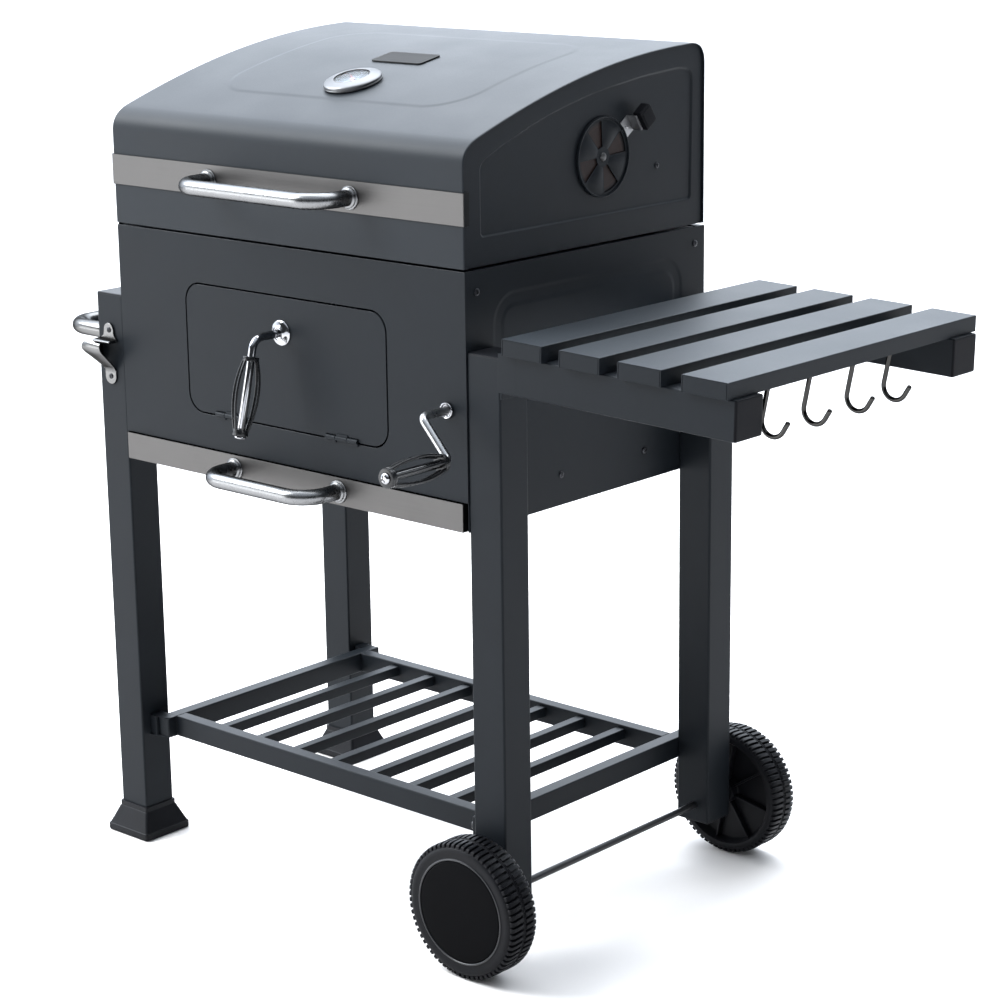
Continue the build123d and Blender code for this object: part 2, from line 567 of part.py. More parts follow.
# lid hinges: a strap on the lid, a plate on the firebox and a pin through both
plates, straps = [], []
for s in (-1, 1):
    x0 = s * 190.0
    pl = bx(x0 - 28, x0 + 28, HD, HD + 2.0, 805, 840)
    for a, b in ((-28, -10), (10, 28)):
        pl += cyl_x(LIDP_Y, LIDP_Z, 5.0, x0 + a, x0 + b)
        pl += poly_x([(HD, 830), (HD + 2, 830), (LIDP_Y + 4.6, LIDP_Z - 2), (LIDP_Y + 4.6, LIDP_Z), (LIDP_Y, LIDP_Z), (LIDP_Y - 4.0, LIDP_Z - 3.0), (HD, 838)], x0 + a, x0 + b)
    pl -= cyl_x(LIDP_Y, LIDP_Z, 2.5, x0 - 30, x0 + 30)
    plates.append(pl)
    plates.append(cyl_x(LIDP_Y, LIDP_Z, 2.5, x0 - 30, x0 + 30))
    st = bx(x0 - 9.7, x0 + 9.7, 223.0, 225.0, 850, 890)
    st += cyl_x(LIDP_Y, LIDP_Z, 5.0, x0 - 9.7, x0 + 9.7)
    st += poly_x([(223.0, 852), (225.0, 856), (LIDP_Y + 4.8, LIDP_Z + 1.0), (LIDP_Y, LIDP_Z), (LIDP_Y - 4.8, LIDP_Z + 1.2), (223.0, 849)], x0 - 9.7, x0 + 9.7)
    st -= cyl_x(LIDP_Y, LIDP_Z, 2.56, x0 - 12, x0 + 12)
    straps.append(st)
save("lid_hinge_plates", *plates)
save("lid_hinge_straps", *straps)

ls = []
for s in (-1, 1):
    for y, z in ((133.0, 925.0), (-190.0, 860.0)):
        ls.append(cyl_x(y, z, 4.2, s * END_X, s * (END_X + 1.6)) + cyl_x(y, z, 2.0, s * (END_X - 8), s * (END_X + 0.5)))
save("lid_screws", *ls)

# thermometer, built flat and laid on the slope
lay = Pos(0, TH_Y, tz + 0.25) * Rot(tslope, 0, 0)
case = cyl_z(0, 0, TH_R, 0, 3) + (cyl_z(0, 0, TH_R, 3, 11) - cyl_z(0, 0, 32.5, 2, 12)) + cyl_z(0, 0, 3.0, -55, 0.5)
save("thermometer_case", lay * case)
dial = cyl_z(0, 0, 32.4, 3, 3.8) - cyl_z(0, 0, 1.3, 2, 5)
pin = cyl_z(0, 0, 1.25, 3.0, 5.4)
save("thermometer_dial", lay * dial, lay * pin)
needle = cyl_z(0, 0, 3.2, 4.4, 5.4) + bx(-24.0, 8.0, -0.8, 0.8, 4.4, 5.4)
needle -= cyl_z(0, 0, 1.31, 4, 6)
needle = Rot(0, 0, -40) * needle
save("thermometer_needle", lay * needle)
save("thermometer_glass", lay * cyl_z(0, 0, 32.4, 8, 10))
pz, pslope = z_of(PLATE_Y)
plate = Pos(0, PLATE_Y, pz + 0.35) * Rot(pslope, 0, 0) * extrude(RectangleRounded(86, 40, 5), 1.5)
save("blank_plate", plate)

# vent damper on the right lid end
vpl = Plane(origin=(END_X + 0.4, VENT_Y, VENT_Z), x_dir=(0, 1, 0), z_dir=(1, 0, 0))
disc = cyl_z(0, 0, VENT_R, 0, 1.2) + (cyl_z(0, 0, VENT_R, 0, 3.0) - cyl_z(0, 0, VENT_R - 1.5, -1, 4))
for k in range(4):
    disc -= vent_slot(VENT_A0 + 45 + 90 * k, 12.0, 43.0)
GA = 35.0
tab = bx(44, 64, -11, 11, 0, 1.2) + bx(62.8, 64, -11, 11, 0, 15) + bx(62.8, 72, -11, 11, 13.8, 15)
disc += Rot(0, 0, GA) * tab
disc += cyl_z(0, 0, 6.5, 1.2, 3.2)
disc += cyl_z(0, 0, 2.94, -5.0, 1.0)
save("damper_disc", vpl * disc)
grip = bx(65, 87, -13, 13, 9, 22) - bx(64, 72, -11, 11, 13.8, 15)
save("damper_grip", vpl * (Rot(0, 0, GA) * grip))

# ---------------------------------------------------------------------- door
dp = rbox_y(DOOR_X0, DOOR_X1, DOOR_Z0, DOOR_Z1, -HD, -HD + DOOR_D, DOOR_R)
dp -= rbox_y(DOOR_X0 + 1.5, DOOR_X1 - 1.5, DOOR_Z0 + 1.5, DOOR_Z1 - 1.5, -HD + 1.5, -HD + 11, DOOR_R - 1.5)
for s in (-1, 1):
    dp -= bx(s * LUG_X - 28, s * LUG_X + 28, -HD - 1, -HD + 11, DOOR_Z0 - 1, 621.0)
    dp += bx(s * LUG_X - 28, s * LUG_X + 28, -HD, -HD + DOOR_D, 621.0, 622.5)
    dp += cyl_x(DP_Y, DP_Z, 3.0, s * LUG_X - 9.7, s * LUG_X + 9.7)
    dp += bx(s * LUG_X - 9.7, s * LUG_X + 9.7, -HD, -HD + 1.5, DP_Z, 622.0)
    dp -= cyl_x(DP_Y, DP_Z, 1.56, s * LUG_X - 10, s * LUG_X + 10)
dp -= cyl_y(DH_X, DH_Z, 5.06, -HD - 1, -HD + 3)
save("door_panel", dp)
save("door_hinge_pins", *[cyl_x(DP_Y, DP_Z, 1.5, s * LUG_X - 27.0, s * LUG_X + 27.0) for s in (-1, 1)])

ros = Pos(DH_X, -HD, DH_Z) * Rot(90, 0, 0) * loft([Circle(16), Pos(0, 0, 2.0) * Circle(15), Pos(0, 0, 4.5) * Circle(9)])
ros -= cyl_y(DH_X, DH_Z, 5.06, -HD - 8, -HD + 1)
save("door_rosette", ros)


def cage(p0, p1, r_cap0, r_cap1, r_bulge, bore, n=6, wire=1.5, cap0=6.0, cap1=8.0):
    """Barrel of bowed wires between two end rings, along p0 -> p1, built along local Z."""
    d = Vector(*p1) - Vector(*p0)
    L = d.length
    c = cyl_z(0, 0, r_cap0, 0, cap0) + cyl_z(0, 0, r_cap1, L - cap1, L)
    for k in range(n):
        a = math.radians(360 / n * k + 30)
        ca, sa = math.cos(a), math.sin(a)
        q0 = ((r_cap0 - wire - 0.3) * ca, (r_cap0 - wire - 0.3) * sa, cap0 / 2)
        qm = (r_bulge * ca, r_bulge * sa, L * 0.47)
        q1 = ((r_cap1 - wire - 0.3) * ca, (r_cap1 - wire - 0.3) * sa, L - cap1 / 2)
        arc = ThreePointArc(q0, qm, q1)
        c += sweep(Plane(origin=q0, z_dir=arc % 0) * Circle(wire), path=arc)
    c -= cyl_z(0, 0, bore, -5, L + 5)
    return Plane(origin=p0, z_dir=d) * c


k0 = (DH_X, -269.5, DH_Z)
ke = (DH_X, DH_END_Y, DH_END_Z)
rodh = rod([(DH_X, -213.0, DH_Z), k0, ke], 16.0, 5.0)
save("door_handle_rod", rodh)


def along(a, b, d):
    v = Vector(*b) - Vector(*a)
    v = v.normalized()
    return (a[0] + v.X * d, a[1] + v.Y * d, a[2] + v.Z * d)


Lh = (Vector(*ke) - Vector(*k0)).length
save("door_handle_cage", cage(along(k0, ke, 22.0), along(k0, ke, Lh - 0.4), 10.0, 9.5, 15.5, 5.0, wire=1.6))
latch = bx(DH_X - 9, DH_X + 52, -218.0, -215.0, DH_Z - 8, DH_Z + 8) - cyl_y(DH_X, DH_Z, 5.0, -225, -210)
save("door_latch", latch)

# --------------------------------------------------------------------- crank
ax, az = CR_X + CR_ARM, CR_Z - CR_DROP
cr = rod([(CR_X, 222.0, CR_Z), (CR_X, CR_Y_ARM, CR_Z), (ax, CR_Y_ARM, az), (ax, CR_Y_END, az)], 8.0, CR_R)
cr += cyl_y(ax, az, 7.5, CR_Y_END - 4.0, CR_Y_END)
save("crank_rod", cr)
save("crank_grip", cage((ax, CR_Y_ARM - 9.0, az), (ax, CR_Y_END + 0.3, az), 11.0, 11.8, 16.2, CR_R + 0.07, wire=2.1))


def pinion_outline():
    pa = math.radians(20)
    rp = PITCH_R
    rb = rp * math.cos(pa)
    ra = rp + 0.8 * MOD
    rf = rp - 1.15 * MOD
    backlash = 0.5
    half = (math.pi * MOD / 2 - backlash) / (2 * rp)
    inv = math.tan(pa) - pa
    pts = []
    for k in range(N_T):
        c = 2 * math.pi * k / N_T
        flank = []
        for i in range(7):
            r = max(rb, rf) + (ra - max(rb, rf)) * i / 6
            al = math.acos(min(1.0, rb / r))
            th = half + inv - (math.tan(al) - al)
            flank.append((r, th))
        pts.append((rf * math.cos(c - flank[0][1] - 0.02), rf * math.sin(c - flank[0][1] - 0.02)))
        for r, th in flank:
            pts.append((r * math.cos(c - th), r * math.sin(c - th)))
        for r, th in reversed(flank):
            pts.append((r * math.cos(c + th), r * math.sin(c + th)))
        pts.append((rf * math.cos(c + flank[0][1] + 0.02), rf * math.sin(c + flank[0][1] + 0.02)))
    return pts


pin2 = make_face(Polyline(*pinion_outline(), close=True))
pins = []
for y in (-RACK_Y, RACK_Y):
    g = Plane(origin=(CR_X, y + 4, CR_Z), x_dir=(1, 0, 0), z_dir=(0, -1, 0)) * extrude(pin2, 8)
    g -= cyl_y(CR_X, CR_Z, CR_R, y - 6, y + 6)
    pins.append(g)
save("lift_pinions", *pins)


def rack_pts(z_lo, z_hi, x_pitch, x_back):
    """Rack facing -X; a gap is centred on the crank height at rest."""
    p = math.pi * MOD
    ha, hf = 0.8 * MOD, 1.15 * MOD
    ta = math.tan(math.radians(20))
    w = p / 4 - 0.125
    pts = [(x_back, z_lo), (x_pitch + hf, z_lo)]
    k0 = math.ceil((z_lo - CR_Z) / p - 0.5 + 0.3)
    z = CR_Z + (k0 + 0.5) * p
    while z + p / 4 + 2 < z_hi:
        if z - p / 4 - 2 > z_lo:
            pts += [(x_pitch + hf, z - w - hf * ta), (x_pitch - ha, z - w + ha * ta), (x_pitch - ha, z + w - ha * ta), (x_pitch + hf, z + w + hf * ta)]
        z += p
    pts += [(x_pitch + hf, z_hi), (x_back, z_hi)]
    return pts


racks = []
for y in (-RACK_Y, RACK_Y):
    racks.append(poly_y(rack_pts(TR_Z0, 696.0, CR_X + PITCH_R, 296.0), y - 4, y + 4))
    racks.append(bx(-296.0, -289.0, y - 4, y + 4, TR_Z0, 696.0))
    for s in (-1, 1):
        a = bx(s * TR_X, s * 290.5, y - 4, y + 4, TR_Z0, TR_Z0 + 6)
        racks[-2 if s > 0 else -1] += a
save("lift_racks", *racks)

# ------------------------------------------------------------- charcoal tray
tray = bx(-TR_X, TR_X, -TR_Y, TR_Y, TR_Z0, TR_Z1) - bx(-TR_X + 1.5, TR_X - 1.5, -TR_Y + 1.5, TR_Y - 1.5, TR_Z0 + 1.5, TR_Z1 + 1)
for i in range(12):
    xc = -TR_X + (2 * TR_X) * (i + 1) / 13
    for y0, y1 in ((-170, -95), (-75, -5), (5, 75), (95, 170)):
        tray -= bx(xc - 6, xc + 6, y0, y1, TR_Z0 - 1, TR_Z0 + 3)
for y0, y1 in ((-160, -140), (140, 160)):
    for s in (-1, 1):
        tray += bx(s * (TR_X - 16), s * (TR_X - 1.5), y0, y1, TR_Z0 + 1.5, TR_Z0 + 10)
save("charcoal_tray", tray)

fg = bx(-236, 236, -186, 186, 588, 596) - bx(-229, 229, -179, 179, 587, 597)
for i in range(15):
    xc = -229 + 458 * (i + 1) / 16
    fg += bx(xc - 3, xc + 3, -180, 180, 589, 596)
fg += bx(-230, 230, -4, 4, 588, 593)
save("fire_grate", fg)

# ---------------------------------------------------------------- ash drawer
# sheet floor with four walls standing on it, seam-welded edge to edge
pan_floor = bx(-DR_X, DR_X, DR_Y0, DR_Y1, DR_Z0, DR_Z0 + 1.2)
pan_sides = [bx(min(a, b), max(a, b), DR_Y0, DR_Y1, DR_Z0 + 1.2, DR_Z1) for a, b in ((-DR_X, -DR_X + 1.2), (DR_X - 1.2, DR_X))]
pan_front = bx(-DR_X + 1.2, DR_X - 1.2, DR_Y0, DR_Y0 + 1.2, DR_Z0 + 1.2, DR_Z1)
pan_back = bx(-DR_X + 1.2, DR_X - 1.2, DR_Y1 - 1.2, DR_Y1, DR_Z0 + 1.2, DR_Z1)
for s in (-1, 1):
    pan_front -= cyl_y(s * DHX, DHZ, 3.0, DR_Y0 - 1, DR_Y0 + 3)
save("ash_pan", pan_floor, *pan_sides, pan_front, pan_back)
df = bx(-BAND_LO_X, BAND_LO_X, DR_Y0 - 1.5, DR_Y0, BAND_LO0, BAND_LO1)
for s in (-1, 1):
    df -= cyl_y(s * DHX, DHZ, 3.0, DR_Y0 - 3, DR_Y0 + 1)
save("drawer_front", df)
save("drawer_handle", *u_handle(DHX, DHZ, DHR, DR_Y0 - 1.5, DHOUT, 34.0, DR_Y0 + 1.2))

# ---------------------------------------------------------------- side table
tilt = Pos(TB_PX, 0, TB_PZ) * Rot(0, TB_TILT, 0) * Pos(-TB_PX, 0, -TB_PZ)
rails, rcaps, pbolts, brks = [], [], [], []
for s in (-1, 1):
    ya, yb = (-RAIL_YO, -RAIL_YI) if s < 0 else (RAIL_YI, RAIL_YO)
    r = bx(RAIL_X0, RAIL_X1, ya, yb, RAIL_Z0, RAIL_Z1) - bx(RAIL_X0 - 1, RAIL_X1 + 1, ya + 1.5, yb - 1.5, RAIL_Z0 + 1.5, RAIL_Z1 - 1.5)
    yin = yb if s < 0 else ya          # the side that faces the grill's middle
    # the bottom wall stops short, so that it clears the bracket when the table folds
    r -= bx(RAIL_X0 - 1, 387.0, ya + 1.5, yb - 1.5, RAIL_Z0 - 1, RAIL_Z0 + 3)
    r -= cyl_y(TB_PX, TB_PZ, 4.0, yin - 3, yin + 3)
    rails.append(tilt * r)
    c = bx(RAIL_X1, RAIL_X1 + 2.5, ya, yb, RAIL_Z0, RAIL_Z1)
    c += bx(RAIL_X1 - 10, RAIL_X1, ya + 1.6, yb - 1.6, RAIL_Z0 + 1.6, RAIL_Z1 - 1.6)
    rcaps.append(tilt * c)
    # fold pivot: bolt from the inner side, its end against the outer wall
    yout = ya + 1.5 if s < 0 else yb - 1.5
    hd = 1 if s < 0 else -1
    pb = cyl_y(TB_PX, TB_PZ, 4.0, yout, yin) + cyl_y(TB_PX, TB_PZ, 7.0, yin, yin + hd * 4)
    pbolts.append(tilt * pb)
    # bracket on the leg with two ears inside the rail
    ym = (ya + yb) / 2
    lx = HW + LEG_X
    legy0, legy1 = (-LEG_OUT_Y, -LEG_OUT_Y + LEG_Y) if s < 0 else (LEG_OUT_Y - LEG_Y, LEG_OUT_Y)
    by0, by1 = max(ya + 5, legy0), min(yb - 5, legy1)
    bk = bx(lx, lx + 2.5, by0, by1, 700.0, 744.0)
    for e0 in (by0, by1 - 2.5):
        ear = bx(lx, TB_PX, e0, e0 + 2.5, TB_PZ - 7, TB_PZ + 7) + cyl_y(TB_PX, TB_PZ, 7.0, e0, e0 + 2.5)
        bk += ear
    bk -= cyl_y(TB_PX, TB_PZ, 4.06, by0 - 1, by1 + 1)
    brks.append(bk)
save("table_rails", *rails)
save("rail_end_caps", *rcaps)
save("table_pivot_bolts", *pbolts)
save("table_brackets", *brks)

slats = []
for x0, x1 in SLATS:
    sl = bx(x0, x1, -SLAT_HY, SLAT_HY, RAIL_Z1, RAIL_Z1 + SLAT_T)
    sl -= bx(x0 + 1.5, x1 - 1.5, -SLAT_HY + 1.5, SLAT_HY - 1.5, RAIL_Z1 - 1, RAIL_Z1 + SLAT_T - 1.5)
    slats.append(tilt * sl)
save("table_slats", *slats)
hr = tilt * cyl_y(HOOK_RX, HOOK_RZ, 2.0, -SLAT_HY + 1.5, SLAT_HY - 1.5)
save("hook_rod", hr)
hc = tilt * Pos(HOOK_RX, 0, HOOK_RZ)
hp = hc.position
print("hook pivot", round(hp.X, 4), round(hp.Z, 4))
lean = 11.57
for i, y in enumerate(HOOK_Y):
    # eye round the rod, straight shank, then the J; drawn upright at the origin
    R = HOOK_EYE
    zt = -math.sqrt(max(0.0, R * R - 0))
    eye = CenterArc((0, 0), R, -75, 325)
    e_end = -75
    loopf = sweep(Plane(origin=(R * math.cos(math.radians(-75)), R * math.sin(math.radians(-75)), 0), z_dir=eye % 0) * Circle(HOOK_WIRE), path=eye)
    sh1 = Line((0, -R, 0), (0, -HOOK_LEN, 0))
    jarc = CenterArc((HOOK_J, -HOOK_LEN), HOOK_J, 180, HOOK_SWEEP)
    body = sweep(Plane(origin=(0, -R, 0), z_dir=(0, -1, 0)) * Circle(HOOK_WIRE), path=sh1)
    jj = sweep(Plane(origin=(0, -HOOK_LEN, 0), z_dir=(0, -1, 0)) * Circle(HOOK_WIRE), path=jarc)
    h = loopf + body + jj
    h += Pos(0, -R, 0) * Sphere(HOOK_WIRE)
    # the open end runs on straight, leaning outward
    bend, way = jarc @ 1, (jarc % 1).normalized()
    tip = bend + way * HOOK_TAIL
    h += sweep(Plane(origin=bend, z_dir=way) * Circle(HOOK_WIRE), path=Line(bend, tip))
    h += Pos(tip.X, tip.Y, 0) * Sphere(HOOK_WIRE)
    # local x -> X, local y -> Z
    hpl = Plane(origin=(hp.X, y, hp.Z), x_dir=(1, 0, 0), z_dir=(0, -1, 0))
    h = hpl * (Rot(0, 0, -lean) * h)
    save("hook_%d" % (i + 1), h)

print(len(NODES), "nodes", "box", [round(f(b[i] for b in BOX), 3) for i, f in enumerate((min, min, min, max, max, max))])
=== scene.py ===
import math
import random

import bpy
import bmesh
from mathutils import Vector, Matrix
from mathutils.geometry import tessellate_polygon


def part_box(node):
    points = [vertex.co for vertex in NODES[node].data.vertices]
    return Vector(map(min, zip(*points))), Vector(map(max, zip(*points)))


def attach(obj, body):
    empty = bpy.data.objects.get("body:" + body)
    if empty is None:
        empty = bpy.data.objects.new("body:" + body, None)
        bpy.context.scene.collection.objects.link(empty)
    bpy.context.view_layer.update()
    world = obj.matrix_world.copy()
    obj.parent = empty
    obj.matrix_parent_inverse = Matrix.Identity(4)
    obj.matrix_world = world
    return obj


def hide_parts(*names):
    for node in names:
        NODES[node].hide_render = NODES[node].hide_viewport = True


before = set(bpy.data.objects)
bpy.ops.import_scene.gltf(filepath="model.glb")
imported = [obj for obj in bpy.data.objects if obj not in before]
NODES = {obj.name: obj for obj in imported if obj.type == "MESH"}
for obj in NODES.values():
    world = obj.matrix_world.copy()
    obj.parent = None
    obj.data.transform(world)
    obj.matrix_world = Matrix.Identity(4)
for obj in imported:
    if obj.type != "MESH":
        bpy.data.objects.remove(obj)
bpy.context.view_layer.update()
scene = bpy.context.scene
rad, sin, cos, pi = math.radians, math.sin, math.cos, math.pi

# The pieces are drawn in millimetres about the firebox centre, as in the CAD
# source, and moved to the row frame in metres when they are emitted.
_lo, _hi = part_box("front_panel")
SX, SY = 500.0 * (_lo.x + _hi.x), 47.0
TO_M = Matrix.Scale(0.001, 4) @ Matrix.Translation((SX, SY, 0.0))

HW, HD = 302.0, 224.0
Z_FRONT_BOT, Z_SIDE_BOT, Z_TOP = 569.5, 534.0, 841.0
LID_Z0 = 844.0
END_X = 299.0

# =============================================================== mesh helpers


class Bag:
    """Collects closed parts of one piece."""

    def __init__(self):
        self.bm = bmesh.new()

    def add(self, src, mat=None, mi=0):
        if mat is not None:
            bmesh.ops.transform(src, matrix=mat, verts=src.verts)
        if mi is not None:
            for f in src.faces:
                f.material_index = mi
        me = bpy.data.meshes.new("tmp")
        src.to_mesh(me)
        src.free()
        self.bm.from_mesh(me)
        bpy.data.meshes.remove(me)
        return self


def clean(bm):
    bmesh.ops.recalc_face_normals(bm, faces=bm.faces)
    return bm


def bevel(bm, w, seg=2, ang=35.0, pick=None):
    if w <= 0:
        return bm
    es = [e for e in bm.edges if len(e.link_faces) == 2 and e.calc_face_angle(0.0) > rad(ang) and (pick is None or pick(e))]
    if es:
        bmesh.ops.bevel(bm, geom=es, offset=w, offset_type="OFFSET", segments=seg, profile=0.5, affect="EDGES", clamp_overlap=True)
    return bm


def box(x0, x1, y0, y1, z0, z1, bev=0.6, seg=2):
    bm = bmesh.new()
    bmesh.ops.create_cube(bm, size=1.0)
    m = Matrix.Translation(((x0 + x1) / 2, (y0 + y1) / 2, (z0 + z1) / 2)) @ Matrix.Diagonal((abs(x1 - x0), abs(y1 - y0), abs(z1 - z0), 1.0))
    bmesh.ops.transform(bm, matrix=m, verts=bm.verts)
    clean(bm)
    return bevel(bm, min(bev, 0.45 * min(abs(x1 - x0), abs(y1 - y0), abs(z1 - z0))), seg)


AX = {
    "x": lambda u, v, w: Vector((w, u, v)),
    "y": lambda u, v, w: Vector((u, w, v)),
    "z": lambda u, v, w: Vector((u, v, w)),
}


def fill(bm, loops):
    """Fills between the first loop of verts and the holes in it; each entry is (verts, 2-D points)."""
    if len(loops) == 1:
        return [bm.faces.new(loops[0][0])]
    flat = [v for vs, _ in loops for v in vs]
    out = []
    for t in tessellate_polygon([[Vector((p[0], p[1], 0.0)) for p in ps] for _, ps in loops]):
        try:
            out.append(bm.faces.new([flat[i] for i in t]))
        except ValueError:
            pass
    return out


def plate(outer, axis, a0, a1, holes=(), bev=0.4, seg=2, ang=40.0, pick=None):
    bm = bmesh.new()
    f = AX[axis]
    loops = [list(outer)] + [list(h) for h in holes]
    lo = [[bm.verts.new(f(u, v, a0)) for u, v in lp] for lp in loops]
    hi = [[bm.verts.new(f(u, v, a1)) for u, v in lp] for lp in loops]
    fill(bm, list(zip(lo, loops)))
    fill(bm, list(zip(hi, loops)))
    for a, b in zip(lo, hi):
        n = len(a)
        for i in range(n):
            bm.faces.new((a[i], a[(i + 1) % n], b[(i + 1) % n], b[i]))
    clean(bm)
    return bevel(bm, bev, seg, ang, pick)


def rrect(x0, x1, y0, y1, r, n=6):
    pts = []
    for cx, cy, a in ((x1 - r, y1 - r, 0), (x0 + r, y1 - r, 90), (x0 + r, y0 + r, 180), (x1 - r, y0 + r, 270)):
        for k in range(n + 1):
            t = rad(a + 90.0 * k / n)
            pts.append((cx + r * cos(t), cy + r * sin(t)))
    return pts


def circle(cx, cy, r, n=32, a0=0.0):
    return [(cx + r * cos(a0 + 2 * pi * k / n), cy + r * sin(a0 + 2 * pi * k / n)) for k in range(n)]


def fillet_closed(pts, radii, step=7.0):
    """Rounds the corners of a closed 2-D outline."""
    out = []
    n = len(pts)
    for i in range(n):
        a, b, c = (Vector(pts[(i - 1) % n]), Vector(pts[i]), Vector(pts[(i + 1) % n]))
        r = radii[i]
        u, v = (a - b).normalized(), (c - b).normalized()
        turn = pi - u.angle(v)
        if r <= 0 or turn < 1e-3:
            out.append(tuple(b))
            continue
        t = r * math.tan(turn / 2)
        m = min(t, 0.49 * (a - b).length, 0.49 * (c - b).length)
        r = r * m / t
        p0 = b + u * m
        bis = (u + v).normalized()
        cen = b + bis * (r / cos(turn / 2))
        k = max(2, int(math.degrees(turn) / step) + 1)
        w0 = p0 - cen
        sgn = 1.0 if (u.x * v.y - u.y * v.x) < 0 else -1.0
        for j in range(k + 1):
            ang = sgn * turn * j / k
            out.append((cen.x + w0.x * cos(ang) - w0.y * sin(ang), cen.y + w0.x * sin(ang) + w0.y * cos(ang)))
    return out


def inset_loop(pts, d):
    """Moves a closed counter-clockwise outline inwards by d."""
    n = len(pts)
    area = sum(pts[i][0] * pts[(i + 1) % n][1] - pts[(i + 1) % n][0] * pts[i][1] for i in range(n))
    s = 1.0 if area > 0 else -1.0
    out = []
    for i in range(n):
        a, b = pts[(i - 1) % n], pts[(i + 1) % n]
        tx, ty = b[0] - a[0], b[1] - a[1]
        L = math.hypot(tx, ty) or 1.0
        out.append((pts[i][0] - s * ty / L * d, pts[i][1] + s * tx / L * d))
    return out


def relief(outer, feat, steps, axis, base, sign, holes=(), thick=1.5, bev=0.5, seg=2):
    """Pressed sheet: inside the outline feat the face steps by (inset, height)."""
    bm = bmesh.new()
    f = AX[axis]

    def ring(pts, h):
        return [bm.verts.new(f(p[0], p[1], base + sign * h)) for p in pts]

    rings = []
    for d, h in steps:
        ps = inset_loop(feat, d)
        rings.append((ring(ps, h), ps))
    o = (ring(outer, 0.0), list(outer))
    fill(bm, [o, rings[0]])
    for (a, _), (b, _) in zip(rings[:-1], rings[1:]):
        n = len(a)
        for i in range(n):
            bm.faces.new((a[i], a[(i + 1) % n], b[(i + 1) % n], b[i]))
    hl = [(ring(h, steps[-1][1]), list(h)) for h in holes]
    fill(bm, [rings[-1]] + hl)
    clean(bm)
    # the other side of the sheet, and the rim
    faces = list(bm.faces)
    shift = f(0, 0, -sign * thick)
    twin = {v: bm.verts.new(v.co + shift) for v in list(bm.verts)}
    border = [e for e in bm.edges if len(e.link_faces) == 1]
    for fc in faces:
        bm.faces.new([twin[v] for v in reversed(fc.verts)])
    for e in border:
        a, b = e.verts
        bm.faces.new((a, b, twin[b], twin[a]))
    clean(bm)
    return bevel(bm, bev, seg, 60.0)


def slope(w, h0, h1, d0=0.0, n=5):
    """Ring steps for a soft press line of width w that goes from height h0 to h1."""
    out = []
    for k in range(n + 1):
        t = k / n
        out.append((d0 + w * t, h0 + (h1 - h0) * t * t * (3 - 2 * t)))
    return out


def frames_along(pts, closed=False):
    n = len(pts)
    tan = []
    for i in range(n):
        a = pts[i - 1] if i > 0 else (pts[-1] if closed else pts[0])
        b = pts[i + 1] if i < n - 1 else (pts[0] if closed else pts[-1])
        tan.append((b - a).normalized())
    up = Vector((0, 0, 1))
    if abs(tan[0].dot(up)) > 0.9:
        up = Vector((0, 1, 0))
    nrm = (up - tan[0] * up.dot(tan[0])).normalized()
    out = []
    for i in range(n):
        if i > 0:
            q = tan[i - 1].rotation_difference(tan[i])
            nrm = q @ nrm
            nrm = (nrm - tan[i] * nrm.dot(tan[i])).normalized()
        out.append((tan[i], nrm, tan[i].cross(nrm)))
    return out


def sweep(path, r, n=24, dome=(0.0, 0.0), edge=0.5):
    """Round bar along a dense path. dome rounds an end by that height; otherwise the end has a small edge radius."""
    pts = [Vector(p) for p in path]
    fr = frames_along(pts)
    bm = bmesh.new()
    stations = []
    r_of = (lambda i: r[i]) if isinstance(r, (list, tuple)) else (lambda i: r)
    for i, p in enumerate(pts):
        stations.append((p, fr[i], r_of(i)))

    def cap_stations(i, sgn, d):
        p, f, rr = stations[i]
        out = []
        if d > 0:
            m = 7
            for k in range(1, m):
                a = pi / 2 * k / m
                out.append((p + f[0] * sgn * d * sin(a), f, rr * cos(a)))
            tip = p + f[0] * sgn * d
        else:
            e = min(edge, rr * 0.4)
            out.append((p + f[0] * sgn * e * 0.7, f, rr - e * 0.3))
            out.append((p + f[0] * sgn * e, f, rr - e))
            tip = p + f[0] * sgn * e
        return out, tip

    s0, tip0 = cap_stations(0, -1, dome[0])
    s1, tip1 = cap_stations(len(pts) - 1, 1, dome[1])
    allst = list(reversed(s0)) + stations + s1
    rings = []
    for p, f, rr in allst:
        rings.append([bm.verts.new(p + (f[1] * cos(2 * pi * k / n) + f[2] * sin(2 * pi * k / n)) * rr) for k in range(n)])
    for a, b in zip(rings[:-1], rings[1:]):
        for k in range(n):
            bm.faces.new((a[k], a[(k + 1) % n], b[(k + 1) % n], b[k]))
    for ring, tip in ((rings[0], tip0), (rings[-1], tip1)):
        c = bm.verts.new(tip)
        for k in range(n):
            bm.faces.new((ring[k], ring[(k + 1) % n], c))
    return clean(bm)


def fillet_path(pts, radii, deg=6.0):
    pts = [Vector(p) for p in pts]
    out = [pts[0]]
    if not isinstance(radii, (list, tuple)):
        radii = [radii] * (len(pts) - 2)
    for i in range(1, len(pts) - 1):
        a, b, c = pts[i - 1], pts[i], pts[i + 1]
        u, v = (a - b).normalized(), (c - b).normalized()
        turn = pi - u.angle(v)
        r = radii[i - 1]
        t = r * math.tan(turn / 2)
        p0 = b + u * t
        cen = b + (u + v).normalized() * (r / cos(turn / 2))
        ax = u.cross(v).normalized()
        k = max(3, int(math.degrees(turn) / deg))
        for j in range(k + 1):
            out.append(cen + Matrix.Rotation(-turn * j / k, 3, ax) @ (p0 - cen))
    out.append(pts[-1])
    return out


def line_pts(a, b, n):
    a, b = Vector(a), Vector(b)
    return [a.lerp(b, k / n) for k in range(n + 1)]


